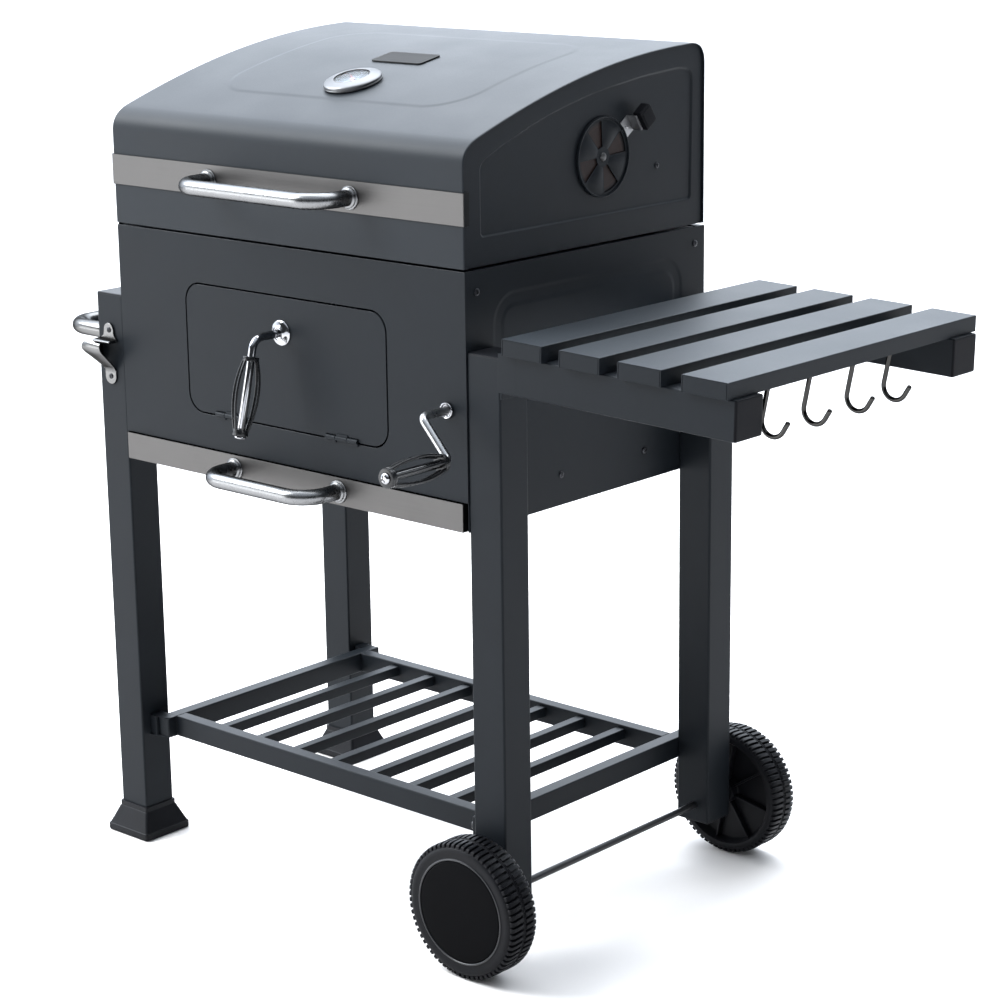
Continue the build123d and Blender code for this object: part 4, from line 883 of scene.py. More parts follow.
# crank bushes
b = Bag()
b.add(lathe([(5.1, 0.0), (9.2, 0.0), (9.8, 0.4), (10.0, 1.2), (9.9, 2.6), (9.3, 3.6), (8.5, 3.95), (7.8, 3.5), (7.3, 2.2), (6.8, 1.2), (6.2, 1.0), (5.6, 1.3), (5.1, 1.5)], (272, -HD, 677), (0, -1, 0), 40, closed=True))
b.add(lathe([(5.1, 0.0), (7.9, 0.0), (7.9, 9.6), (7.4, 10.0), (5.1, 10.0)], (272, -HD, 677), (0, 1, 0), 32, closed=True))
b.add(lathe([(5.1, -12.0), (7.9, -12.0), (7.9, 0.0), (11.0, 0.0), (11.0, 1.6), (10.2, 2.5), (0.0, 2.7), (0.0, 0.4), (5.1, 0.3)], (272, HD, 677), (0, 1, 0), 36))
emit("bushes", b, M_CHROME, "cart", ["crank_bushes"], wn=False)

# ======================================================================= door
b = Bag()
for seg_holes in (0,):
    outline = rrect(DX0, DX1, DZ0, DZ1, DR, 12)
    # notches for the hinge knuckles in the lower edge
    pts = []
    for p in outline:
        pts.append(p)
    # the outline runs counter-clockwise: put the notches on the lower straight
    out2 = []
    n = len(pts)
    for i in range(n):
        p, q = pts[i], pts[(i + 1) % n]
        out2.append(p)
        if abs(p[1] - DZ0) < 1e-6 and abs(q[1] - DZ0) < 1e-6 and q[0] - p[0] > 100:
            for c in (-98.0, 98.0):
                out2 += [(c - 28, DZ0), (c - 28, 620.6), (c + 28, 620.6), (c + 28, DZ0)]
    b.add(edge_highlight_faces(plate(out2, "y", -HD, -HD + 1.5, holes=[circle(-3, 735, 5.3, 20)], bev=1.25, seg=4, ang=60, pick=outside)), mi=None)
inner = rrect(DX0 + 1.5, DX1 - 1.5, DZ0 + 6.5, DZ1 - 1.5, DR - 4, 12)
b.add(plate(rrect(DX0 + 0.25, DX1 - 0.25, DZ0 + 5.0, DZ1 - 0.25, DR - 2.5, 12), "y", -HD + 0.9, -HD + 5.0, holes=[inner], bev=0.25, seg=1, ang=60))
for s in (-1, 1):
    b.add(lathe([(0, 0.0), (2.6, 0.0), (3.0, 0.4), (3.0, 19.0), (2.6, 19.4), (0, 19.4)], (s * 98 - 9.7, -225, 616.8), (1, 0, 0), 24))
    b.add(box(s * 98 - 9.7, s * 98 + 9.7, -225.4, -222.6, 617.5, 622.5, 0.5))
emit("fuel_door", b, [M_PAINT, M_EDGE_HIGHLIGHT], "door", ["door_panel"])

b = Bag()
prof = [(5.1, 0.0), (15.2, 0.0), (15.9, 0.35), (16.0, 1.0), (15.6, 1.7), (14.6, 2.3), (12.8, 3.0), (10.6, 3.8), (9.0, 4.6), (8.0, 5.4), (7.2, 5.8), (6.4, 5.6), (5.9, 4.8), (5.1, 4.7)]
b.add(lathe(prof, (-3, -HD, 735), (0, -1, 0), 56, closed=True))
emit("rosette", b, M_CHROME, "door", ["door_rosette"], wn=False)

# door handle: rod, cage and latch tongue
P0, P1, P2 = Vector((-3, -213, 735)), Vector((-3, -269.5, 735)), Vector((-3, -298, 619))
b = Bag()
dirh = (P2 - P1).normalized()
b.add(sweep(fillet_path([P0, P1, P2], 16.0, 5.0), 5.0, 28, dome=(0, 0)))
b.add(lathe([(5.0, 0.0), (6.6, 0.0), (7.2, 0.5), (7.2, 1.6), (6.4, 2.6), (4.2, 3.4), (0.0, 3.7)], tuple(P2), tuple(dirh), 32))
emit("door_grip_rod", b, M_CHROME, "door_handle", ["door_handle_rod"], wn=False)


def cage(p0, p1, r0, r1, bulge, bore, cap0=6.0, cap1=8.0, n=6, wire=1.55, a0=30.0):
    bag = Bag()
    p0, p1 = Vector(p0), Vector(p1)
    d = (p1 - p0)
    L = d.length
    d = d.normalized()
    q = Vector((0, 0, 1)).rotation_difference(d).to_matrix().to_4x4()
    T = Matrix.Translation(p0) @ q

    def cap(ra, z0, z1, flip):
        h = z1 - z0
        pr = [(bore, z0), (ra - 1.0, z0), (ra - 0.25, z0 + 0.35), (ra, z0 + 1.1), (ra, z0 + h * 0.42), (ra - 0.5, z0 + h * 0.47), (ra - 0.5, z0 + h * 0.55), (ra, z0 + h * 0.6),
              (ra, z1 - 1.1), (ra - 0.25, z1 - 0.35), (ra - 1.0, z1), (bore, z1)]
        return lathe(pr, (0, 0, 0), (0, 0, 1), 40, closed=True)

    bag.add(cap(r0, 0.0, cap0, False), T)
    bag.add(cap(r1, L - cap1, L, True), T)
    for k in range(n):
        a = rad(360.0 / n * k + a0)
        pts = []
        ra, rb = r0 - wire - 0.4, r1 - wire - 0.4
        z0, z1 = cap0 * 0.5, L - cap1 * 0.5
        for j in range(29):
            t = j / 28
            base = ra + (rb - ra) * t
            bow = (bulge - (ra + rb) / 2) * (1 - (2 * t - 0.94) ** 2 if t > 0.47 else 1 - (1 - t / 0.47) ** 2)
            if t > 0.47:
                bow = (bulge - (ra + rb) / 2) * (1 - ((t - 0.47) / 0.53) ** 2)
            rr = base + max(0.0, bow)
            pts.append(Vector((rr * cos(a), rr * sin(a), z0 + (z1 - z0) * t)))
        bag.add(sweep(pts, wire, 12), T)
    return bag


Lh = (P2 - P1).length
emit("door_grip_cage", cage(P1 + dirh * 22.0, P1 + dirh * (Lh - 0.4), 10.0, 9.5, 15.5, 5.1, wire=1.6), M_CAGE, "door_handle", ["door_handle_cage"], wn=False)
b = Bag()
b.add(plate(fillet_closed([(-12, 727), (49, 727), (49, 743), (-12, 743)], [7.5, 7.5, 7.5, 7.5]), "y", -218, -215, holes=[circle(-3, 735, 5.0, 20)], bev=0.4))
emit("latch_tongue", b, M_ZINC, "door_handle", ["door_latch"])

# ====================================================================== crank
AXX, AXZ = 314.0, 631.0
b = Bag()
bar = sweep(fillet_path([(272, 222, 677), (272, -268, 677), (AXX, -268, AXZ), (AXX, -372.5, AXZ)], 8.0, 6.0), 5.0, 28)
# the straight length inside the grip gets a cut at its start so that it can take a darker chrome apart: painted shade
# where the cage covers the rod
bmesh.ops.bisect_plane(bar, geom=bar.verts[:] + bar.edges[:] + bar.faces[:], plane_co=(0, -280.0, 0), plane_no=(0, 1, 0))
for f in bar.faces:
    f.material_index = 1 if f.calc_center_median().y < -280.0 else 0
b.add(bar, mi=None)
cap_prof = [(0.0, 3.45), (2.0, 3.4), (3.8, 3.1), (5.2, 2.4), (6.2, 1.5), (6.6, 0.5), (6.6, 0.0), (0.0, 0.0)]
head = lathe(cap_prof, (0, 0, 0), (0, 0, 1), 40)
cross = plate([(x * 3.9, y * 3.9) for x, y in ((-1, -.24), (-.24, -.24), (-.24, -1), (.24, -1), (.24, -.24), (1, -.24), (1, .24), (.24, .24), (.24, 1), (-.24, 1), (-.24, .24), (-1, .24))], "z", 1.7, 5.0, bev=0)
head = boolean(head, cross)
b.add(head, Matrix.Translation((AXX, -372.5, AXZ)) @ Matrix.Rotation(rad(90), 4, "X") @ Matrix.Rotation(rad(25), 4, "Z"), 2)
emit("crank_bar", b, [M_CRANK, M_ROD_SHADED_IN_GRIP, M_CHROME], "crank", ["crank_rod"], wn=False)
emit("crank_cage", cage((AXX, -277.0, AXZ), (AXX, -371.7, AXZ), 11.0, 11.8, 16.2, 5.15, wire=2.05, a0=18.0), M_CAGE, "crank_grip", ["crank_grip"], wn=False)


# ==================================================================== handles
def collar(bag, x, y, z, r, d, mi=0):
    pr = [(r - 0.2, 0.0), (r + 4.0, 0.0), (r + 4.5, 0.5), (r + 4.6, 1.2), (r + 4.2, 2.0), (r + 3.3, 2.3), (r + 2.6, 2.5), (r + 2.4, 3.0),
          (r + 2.7, 3.5), (r + 2.8, 4.2), (r + 2.4, 5.0), (r + 1.6, 5.5), (r + 0.9, 5.9), (r + 0.3, 6.0), (r - 0.2, 6.0)]
    bag.add(lathe(pr, (x, y, z), d, 48, closed=True), mi=mi)


def u_handle(hx, z, r, face, out, bend):
    bag = Bag()
    cy = -(out - r)
    bag.add(sweep(fillet_path([(-hx, face + 0.2, z), (-hx, cy, z), (hx, cy, z), (hx, face + 0.2, z)], bend, 4.0), r, 36))
    for s in (-1, 1):
        collar(bag, s * hx, face, z, r, (0, -1, 0))
        bag.add(lathe([(0, 0), (6.0, 0), (6.0, 3.2), (5.5, 3.6), (0, 3.6)], (s * hx, face + 3.0, z), (0, 1, 0), 6))
    return bag


emit("lid_tube_handle", u_handle(122.5, 911.5, 9.75, -225.5, 290.0, 34.0), M_CHROME_T, "lid", ["lid_handle"], wn=False)
emit("drawer_tube_handle", u_handle(92.0, 551.0, 9.75, -227.5, 293.0, 34.0), M_CHROME_T, "ash_drawer", ["drawer_handle"], wn=False)

b = Bag()
b.add(sweep(fillet_path([(-352.1, -206, 693), (-430, -206, 693), (-430, 206, 693), (-352.1, 206, 693)], 34.0, 4.0), 10.5, 40))
for s in (-1, 1):
    b.add(lathe([(10.3, 0.0), (12.0, 0.0), (12.4, 0.5), (12.4, 1.4), (11.6, 2.2), (10.3, 2.3)], (-352.0, s * 206, 693), (-1, 0, 0), 40, closed=True))
emit("push_handle", b, M_CHROME_B, "cart", ["side_handle"], wn=False)

# ============================================================== bottle opener
OX, OU, OL, YF = -327.5, 700.0, 638.5, -222.0
xh0, xh1 = OX - 19.0, OX + 14.0
b = Bag()
ear = [(OX - 1.5 + 9.2 * cos(rad(a)), OU + 9.2 * sin(rad(a))) for a in range(-10, 191, 12)]
ear = ear + [(OX - 11.6, 693.5), (xh0 + 1.2, 688.0), (xh0 + 0.6, 685.6), (xh1 - 0.6, 685.6), (xh1 - 1.2, 688.0), (OX + 8.4, 693.5)]
b.add(plate(ear, "y", YF - 2.6, YF, bev=0.7, seg=3, ang=50))
tooth = fillet_closed([(YF, 689.0), (YF - 14.0, 688.0), (YF - 17.0, 686.2), (YF - 14.0, 684.2), (YF, 684.8)], [0.6, 3.0, 1.0, 3.0, 0.6])
b.add(plate(tooth, "x", xh0, xh1, bev=0.6, seg=3, ang=50))
low = [(OX - 1.0 + 10.6 * cos(rad(a)), OL + 10.6 * sin(rad(a))) for a in range(170, 371, 12)] + [(OX + 9.4, 648.5), (OX - 11.4, 648.5)]
b.add(plate(low, "y", YF - 2.6, YF, bev=0.7, seg=3, ang=50))
# strap: a lofted sheet that widens and rises to the lip
cen = [(YF - 1.3, 643.5), (YF - 1.9, 647.5), (YF - 5.0, 652.0), (YF - 12.0, 659.0), (YF - 20.0, 666.6), (YF - 27.5, 673.6), (YF - 30.6, 677.2), (YF - 31.8, 680.6), (YF - 31.2, 684.2), (YF - 29.2, 686.6)]
xl = [OX - 10.8, OX - 11.2, OX - 12.4, OX - 15.0, OX - 18.0, OX - 20.6, OX - 21.2, OX - 21.2, OX - 20.4, OX - 19.0]
xr = [OX + 8.8, OX + 9.2, OX + 10.0, OX + 11.6, OX + 13.2, OX + 14.6, OX + 15.0, OX + 15.0, OX + 14.4, OX + 13.2]
rings = []
for i, (y, z) in enumerate(cen):
    a = cen[max(i - 1, 0)]
    c = cen[min(i + 1, len(cen) - 1)]
    t = Vector((c[0] - a[0], c[1] - a[1])).normalized()
    nx, nz = -t.y, t.x          # normal in (y, z), pointing away from the leg
    ring = []
    m = 8
    for k in range(m + 1):
        u = k / m
        x = xl[i] + (xr[i] - xl[i]) * u
        crown = 1.5 * (1 - (2 * u - 1) ** 2) * (1.0 if i > 2 else 0.0)
        ring.append(Vector((x, y + nx * (1.2 + crown), z + nz * (1.2 + crown))))
    for k in range(m, -1, -1):
        u = k / m
        x = xl[i] + (xr[i] - xl[i]) * u
        crown = 1.5 * (1 - (2 * u - 1) ** 2) * (1.0 if i > 2 else 0.0)
        ring.append(Vector((x, y + nx * (-1.2 + crown), z + nz * (-1.2 + crown))))
    rings.append(ring)
st = loft(rings)
b.add(bevel(st, 0.5, 2, 55))
for xa in (xh0 + 0.2,):
    web = fillet_closed([(YF, 650.5), (YF - 11.0, 661.0), (YF - 17.0, 668.5), (YF - 14.5, 679.0), (YF - 13.0, 686.0), (YF, 686.0)], [0, 2, 2, 4, 0, 0])
    b.add(plate(web, "x", xa, xa + 2.2, bev=0.5, seg=2, ang=50))
emit("cap_opener", b, M_CHROME_B, "cart", ["bottle_opener"])


# ======================================================================== lid
def bez(t):
    a1, a2 = rad(19.5), rad(1.5)
    p0, p3 = (-199.0, 991.6), (195.0, 1069.4)
    p1 = (p0[0] + 155 * cos(a1), p0[1] + 155 * sin(a1))
    p2 = (p3[0] - 130 * cos(a2), p3[1] - 130 * sin(a2))
    u = 1 - t
    return tuple(u ** 3 * p0[k] + 3 * u * u * t * p1[k] + 3 * u * t * t * p2[k] + t ** 3 * p3[k] for k in (0, 1))


def lid_line(nf=10, nt=64, nr=14, low=None):
    pts = [(-HD, LID_Z0)] + [(-HD, LID_Z0 + (961.0 - LID_Z0) * k / 6) for k in range(1, 7)]
    s, c, e = (-HD, 961.0), (-HD, 982.7), (-196.5, 992.5)
    for k in range(1, nf):
        t = k / nf
        pts.append(tuple((1 - t) ** 2 * s[i] + 2 * t * (1 - t) * c[i] + t * t * e[i] for i in (0, 1)))
    for k in range(nt + 1):
        if bez(k / nt)[0] >= -196.6:
            pts.append(bez(k / nt))
    s, c, e = (195.0, 1069.4), (223.0, 1070.1), (223.0, 1043.0)
    for k in range(1, nr + 1):
        t = k / nr
        pts.append(tuple((1 - t) ** 2 * s[i] + 2 * t * (1 - t) * c[i] + t * t * e[i] for i in (0, 1)))
    for k in range(1, 7):
        pts.append((223.0, 1043.0 + (LID_Z0 - 1043.0) * k / 6))
    return pts


def normals2(pts):
    out = []
    n = len(pts)
    for i in range(n):
        a, b_ = pts[max(i - 1, 0)], pts[min(i + 1, n - 1)]
        tx, ty = b_[0] - a[0], b_[1] - a[1]
        L = math.hypot(tx, ty)
        out.append((-ty / L, tx / L))       # outward: up on top, -Y on the front
    return out


def inset_open(pts, d):
    ns = normals2(pts)
    out = [(p[0] - n[0] * d, p[1] - n[1] * d) for p, n in zip(pts, ns)]
    out[0] = (out[0][0], pts[0][1])
    out[-1] = (out[-1][0], pts[-1][1])
    return out


def z_on_lid(y):
    pts = [bez(k / 200) for k in range(201)]
    for a, c in zip(pts[:-1], pts[1:]):
        if a[0] <= y <= c[0]:
            f = (y - a[0]) / (c[0] - a[0])
            return a[1] + f * (c[1] - a[1]), math.degrees(math.atan2(c[1] - a[1], c[0] - a[0]))


EMB_X, EMB_Y0, EMB_Y1, EMB_R = 208.0, -138.0, 124.0, 58.0


def emboss(x, y):
    """Height of the pressed field on top of the lid."""
    cx, cy = 0.0, (EMB_Y0 + EMB_Y1) / 2
    qx = abs(x - cx) - (EMB_X - EMB_R)
    qy = abs(y - cy) - ((EMB_Y1 - EMB_Y0) / 2 - EMB_R)
    d = math.hypot(max(qx, 0), max(qy, 0)) + min(max(qx, qy), 0) - EMB_R
    t = max(0.0, min(1.0, (3.2 - d) / 6.4))
    return 0.75 * t * t * (3 - 2 * t)


def lid_shell():
    # rows along the profile, close together where the pressed line crosses
    base = lid_line(12, 200, 16)
    ns_all = normals2(base)
    rows = []
    last = None
    for p, n in zip(base, ns_all):
        y, z = p
        fine = 2.0 if (EMB_Y0 - 6 < y < EMB_Y0 + EMB_R + 8 or EMB_Y1 - EMB_R - 8 < y < EMB_Y1 + 6) and z > 990 else 9.0
        if z < 961.0 + 0.01 or y > 222.0 or y < -196.4 or y > 195.0:
            fine = 0.0
        if last is None or math.hypot(y - last[0], z - last[1]) >= fine:
            rows.append((p, n))
            last = p
    cols = []
    x = 0.0
    while x < HW - 0.6:
        cols.append(x)
        x += 2.0 if EMB_X - EMB_R - 6 < x < EMB_X + 6 else 12.0
    cols = [c for c in cols if c < HW - 4.0] + [HW - 2.4, HW - 1.7, HW - 1.05, HW - 0.5, HW - 0.12]
    xs = sorted(set([-c for c in cols] + cols))
    bm = bmesh.new()
    grids = []
    for side in (0, 1):
        g = []
        for (p, n) in rows:
            line = []
            for x in xs:
                h = emboss(x, p[0]) if p[1] > 990 and p[0] < 195 else 0.0
                e = max(0.0, (abs(x) - (HW - 2.4)) / 2.4)
                if side == 0:
                    w = h - 1.25 * (1.0 - math.sqrt(max(0.0, 1.0 - e * e)))
                else:
                    w = h - 1.5
                line.append(bm.verts.new((x, p[0] + n[0] * w, p[1] + n[1] * w)))
            g.append(line)
        grids.append(g)
    for gi, g in enumerate(grids):
        for r0, r1 in zip(g[:-1], g[1:]):
            for k in range(len(xs) - 1):
                vs = (r0[k], r0[k + 1], r1[k + 1], r1[k])
                bm.faces.new(vs if gi == 0 else tuple(reversed(vs)))
    a, c = grids
    for i in range(len(rows) - 1):
        bm.faces.new((a[i][0], a[i + 1][0], c[i + 1][0], c[i][0]))
        bm.faces.new((a[i][-1], c[i][-1], c[i + 1][-1], a[i + 1][-1]))
    for k in range(len(xs) - 1):
        bm.faces.new((a[0][k], c[0][k], c[0][k + 1], a[0][k + 1]))
        bm.faces.new((a[-1][k], a[-1][k + 1], c[-1][k + 1], c[-1][k]))
    return clean(bm)


b = Bag()
b.add(lid_shell())
# rolled lower edge, front and rear
b.add(box(-HW + 0.4, HW - 0.4, -HD + 0.2, -HD + 7.0, LID_Z0 + 0.1, LID_Z0 + 1.7, 0.5))
b.add(box(-HW + 0.4, HW - 0.4, 216.5, 222.8, LID_Z0 + 0.1, LID_Z0 + 1.7, 0.5))
emit("lid_top", b, M_LID, "lid", ["lid_shell"], ang=38)

# lid ends with a pressed field, vent openings in the right one
LINE = inset_open(lid_line(10, 40, 12), 1.6)
VY, VZ, VR = 27.5, 946.5, 48.5
field = [(-193.0, 875.5), (200.0, 875.5), (202.0, 1010.0), (202.0, 1038.0), (176.0, 1042.5), (102.0, 1037.5), (13.0, 1026.0), (-73.0, 1007.0), (-155.0, 979.5), (-193.0, 962.0)]
field = fillet_closed(field, [7.0, 7.0, 60.0, 20.0, 80.0, 500.0, 500.0, 500.0, 300.0, 16.0], 5.0)


def sector(a0, r0, r1, half, n=10, soft=2.5):
    pts = [(VY + r1 * cos(rad(a0 + half * (2 * k / n - 1))), VZ + r1 * sin(rad(a0 + half * (2 * k / n - 1)))) for k in range(n + 1)]
    pts += [(VY + r0 * cos(rad(a0 + half * (1 - 2 * k / 4))), VZ + r0 * sin(rad(a0 + half * (1 - 2 * k / 4)))) for k in range(5)]
    return pts


b = Bag()
for s in (-1, 1):
    # outline of the end sheet: the lid's profile set in by 1.6 mm
    outer = LINE
    holes = [sector(67 + 90 * k, 13.0, 41.0, 19.0) for k in range(4)] if s > 0 else []
    b.add(relief(outer, field, slope(3.6, 0.0, -2.0, 0.0, 5), "x", s * END_X, s, holes=holes, thick=1.5, bev=0.4, seg=2))
emit("lid_end_sheets", b, M_LIDEND_BROWNED_SHADED, "lid", ["lid_ends"])

b = Bag()
screw(b, (END_X - 2.0 + 0.1, 133.0, 925.0), (1, 0, 0), 3.6, 30)
screw(b, (-END_X + 2.0 - 0.1, 133.0, 925.0), (-1, 0, 0), 3.6, 10)
emit("lid_fasteners", b, M_SCREW, "lid", ["lid_screws"], wn=False)

b = Bag()
bnd = box(-HW - 1.2, HW + 1.2, -HD - 1.5, -HD - 0.02, 893, 932, 0.66, 2)
# faces that point up or down take the dark steel: painted shade on the band's top and bottom
bnd.normal_update()
for f in bnd.faces:
    f.material_index = 1 if abs(f.normal.z) > 0.3 else 0
b.add(bnd, mi=None)
# end returns in the dark steel: painted shade
for s in (-1, 1):
    b.add(box(s * (HW + 0.05), s * (HW + 1.2), -HD - 0.4, -HD + 9.0, 893.1, 931.9, 0.4, 2), mi=1)
emit("lid_trim_band", b, [M_STEEL_X, M_RETURN_SHADE], "lid", ["lid_band"])

# thermometer, drawn flat and laid on the slope
tz, tsl = z_on_lid(-91.0)
LAY = Matrix.Translation((0, -91.0, tz + 0.25)) @ Matrix.Rotation(rad(tsl), 4, "X") @ Matrix.Translation((0, 0, 0.6))
b = Bag()
bez_prof = [(25.2, 0.4), (36.2, 0.4), (36.9, 0.8), (37.0, 1.6), (37.0, 2.3), (36.7, 2.6), (36.7, 3.0), (37.0, 3.3), (37.0, 4.2), (36.8, 5.2), (36.2, 6.1), (35.1, 6.9), (33.4, 7.6),
            (30.0, 8.6), (26.8, 9.45), (25.0, 9.85), (24.2, 10.0), (23.5, 10.05), (23.0, 9.95), (22.8, 9.75), (22.8, 9.55), (25.15, 9.5), (25.3, 4.4), (25.2, 3.0)]
b.add(lathe(bez_prof, (0, 0, 0), (0, 0, 1), 96, closed=True), LAY)
b.add(lathe([(0, -52), (3.0, -51.5), (3.0, -0.6), (25.4, -0.6), (25.4, 2.2), (0, 2.2)], (0, 0, 0), (0, 0, 1), 36), LAY)
emit("thermo_case", b, M_BEZEL, "lid", ["thermometer_case"], wn=False, ang=40)
b = Bag()
b.add(lathe([(0, 2.2), (25.2, 2.2), (25.2, 3.0), (0, 3.0)], (0, 0, 0), (0, 0, 1), 64), LAY, 0)
b.add(lathe([(0, 3.0), (0.95, 3.0), (0.95, 5.3), (0.7, 5.6), (0, 5.6)], (0, 0, 0), (0, 0, 1), 20), LAY, 1)
for k in range(31):
    a = rad(225 - 270 * k / 30)
    big = k % 5 == 0
    r0, r1, w = (18.6, 23.2, 0.42) if big else (20.8, 23.2, 0.22)
    b.add(box(r0, r1, -w, w, 3.0, 3.12, 0), LAY @ Matrix.Rotation(a, 4, "Z"), 1)
arc = [(17.4 * cos(rad(a)), 17.4 * sin(rad(a))) for a in range(45, -46, -6)] + [(16.2 * cos(rad(a)), 16.2 * sin(rad(a))) for a in range(-45, 46, 6)]
b.add(plate(arc, "z", 3.0, 3.12, bev=0), LAY, 2)
emit("thermo_dial", b, [M_DIAL, M_TICK, M_NEEDLE], "lid", ["thermometer_dial"], wn=False)
b = Bag()
nd = Matrix.Rotation(rad(-40), 4, "Z")
b.add(lathe([(1.5, 4.4), (3.0, 4.4), (3.2, 4.7), (3.0, 5.2), (1.5, 5.35)], (0, 0, 0), (0, 0, 1), 28, closed=True), LAY)
b.add(plate([(-2.4, -1.0), (-20.5, -0.3), (-21.5, 0.0), (-20.5, 0.3), (-2.4, 1.0)], "z", 4.55, 5.15, bev=0.12, seg=1), LAY @ nd)
b.add(plate([(2.4, -1.0), (7.4, -1.5), (8.0, 0.0), (7.4, 1.5), (2.4, 1.0)], "z", 4.55, 5.15, bev=0.12, seg=1), LAY @ nd)
emit("thermo_pointer", b, M_NEEDLE, "needle", ["thermometer_needle"], wn=False)
b = Bag()
gp = [(0, 7.4), (25.1, 7.4), (25.1, 8.6), (22.0, 9.0), (16.0, 9.35), (8.0, 9.6), (0, 9.65)]
b.add(lathe(gp, (0, 0, 0), (0, 0, 1), 64), LAY)
emit("thermo_glass", b, M_GLASS, "lid", ["thermometer_glass"], wn=False)

# blank plate behind the thermometer
pz, psl = z_on_lid(3.0)
b = Bag()
PL = Matrix.Translation((0, 3.0, pz + 0.9)) @ Matrix.Rotation(rad(psl), 4, "X")
o = rrect(-43, 43, -20, 20, 5.0, 8)
bm = relief(o, inset_loop(o, 1.6), slope(1.2, 0.0, -0.5, 0.0, 3), "z", 1.7, 1, thick=1.5, bev=0.35, seg=2)
b.add(bm, PL)
emit("plain_badge", b, M_PLATE, "lid", ["blank_plate"])

# vent damper
VP = Matrix.Translation((END_X - 1.4, VY, VZ)) @ Matrix(((0, 0, 1, 0), (1, 0, 0, 0), (0, 1, 0, 0), (0, 0, 0, 1)))
b = Bag()


def vsect(a0, r0, r1, half, n=10):
    return [(r1 * cos(rad(a0 + half * (2 * k / n - 1))), r1 * sin(rad(a0 + half * (2 * k / n - 1)))) for k in range(n + 1)] + [
        (r0 * cos(rad(a0 + half * (1 - 2 * k / 4))), r0 * sin(rad(a0 + half * (1 - 2 * k / 4)))) for k in range(5)]


b.add(plate(circle(0, 0, 46.6, 96), "z", 0.2, 1.4, holes=[vsect(112 + 90 * k, 12.0, 43.0, 19.0) for k in range(4)], bev=0.3, seg=2, ang=60), VP)
b.add(lathe([(46.2, 0.2), (48.5, 0.2), (48.5, 2.6), (48.1, 3.3), (47.4, 3.5), (46.6, 3.2), (46.2, 2.4)], (0, 0, 0), (0, 0, 1), 96, closed=True), VP)
# crowned blades between the openings
for k in range(4):
    a0 = 67 + 90 * k
    bm = bmesh.new()
    gr = []
    for i in range(9):
        rr = 11.5 + (44.0 - 11.5) * i / 8
        rowv = []
        for j in range(9):
            t = j / 8
            half = 24.5
            a = rad(a0 - half + 2 * half * t)
            hgt = 1.35 + 1.7 * (1 - (2 * t - 1) ** 2) * sin(pi * min(1.0, max(0.0, i / 8))) ** 0.6
            rowv.append(bm.verts.new((rr * cos(a), rr * sin(a), hgt)))
        gr.append(rowv)
    lowr = []
    for i in range(9):
        lowr.append([bm.verts.new(Vector((v.co.x, v.co.y, 0.9))) for v in gr[i]])
    for g, flip in ((gr, 0), (lowr, 1)):
        for r0_, r1_ in zip(g[:-1], g[1:]):
            for j in range(8):
                q = (r0_[j], r0_[j + 1], r1_[j + 1], r1_[j])
                bm.faces.new(q if not flip else tuple(reversed(q)))
    for i in range(8):
        bm.faces.new((gr[i][0], gr[i + 1][0], lowr[i + 1][0], lowr[i][0]))
        bm.faces.new((gr[i][8], lowr[i][8], lowr[i + 1][8], gr[i + 1][8]))
        bm.faces.new((gr[0][i], lowr[0][i], lowr[0][i + 1], gr[0][i + 1]))
        bm.faces.new((gr[8][i], gr[8][i + 1], lowr[8][i + 1], lowr[8][i]))
    b.add(clean(bm), VP)
b.add(lathe([(0, -5.0), (2.9, -5.0), (2.9, 1.2), (5.0, 1.2), (5.2, 1.8), (4.8, 2.7), (3.7, 3.4), (2.0, 3.8), (0, 3.9)], (0, 0, 0), (0, 0, 1), 32), VP, 2)
GA = Matrix.Rotation(rad(35.0), 4, "Z")
b.add(box(46, 64, -11.0, 11.0, 0.4, 1.6, 0.4), VP @ GA, 1)
b.add(box(62.8, 64, -11.0, 11.0, 0.6, 15, 0.4), VP @ GA, 1)
b.add(box(63.2, 72, -10.4, 10.4, 13.8, 15, 0.4), VP @ GA, 1)
b.add(lathe([(0, 1.2), (2.6, 1.2), (2.6, 2.2), (1.8, 2.8), (0, 3.0)], (0, 0, 0), (0, 0, 1), 20), VP @ GA @ Matrix.Translation((54.5, 0, 0)), 1)
emit("vent_disc", b, [M_PAINT, M_TAB, M_RIVET], "vent_damper", ["damper_disc"])
b = Bag()
kn = [(65.0, -13.0), (87.0, -13.0), (87.0, 13.0), (65.0, 13.0)]
kn = fillet_closed(kn, [2.0, 4.0, 4.0, 2.0])
b.add(plate(kn, "z", 9.2, 21.4, bev=1.3, seg=3, ang=50), VP @ GA)
b.add(box(68.0, 84.0, -10.0, 10.0, 20.9, 22.0, 0.5), VP @ GA)
emit("vent_grip", b, M_PLASTIC, "vent_damper", ["damper_grip"])

# ================================================================= ash drawer
b = Bag()
b.add(box(-296.5, 296.5, -227.5, -226.0, 534, 568.5, 0.4, 2))
# end returns in the dark steel: painted shade
for s in (-1, 1):
    b.add(box(s * 295.4, s * 296.5, -226.2, -213.0, 534.1, 568.4, 0.35, 2), mi=1)
emit("drawer_trim_band", b, [M_STEEL_X, M_RETURN_SHADE], "ash_drawer", ["drawer_front"])

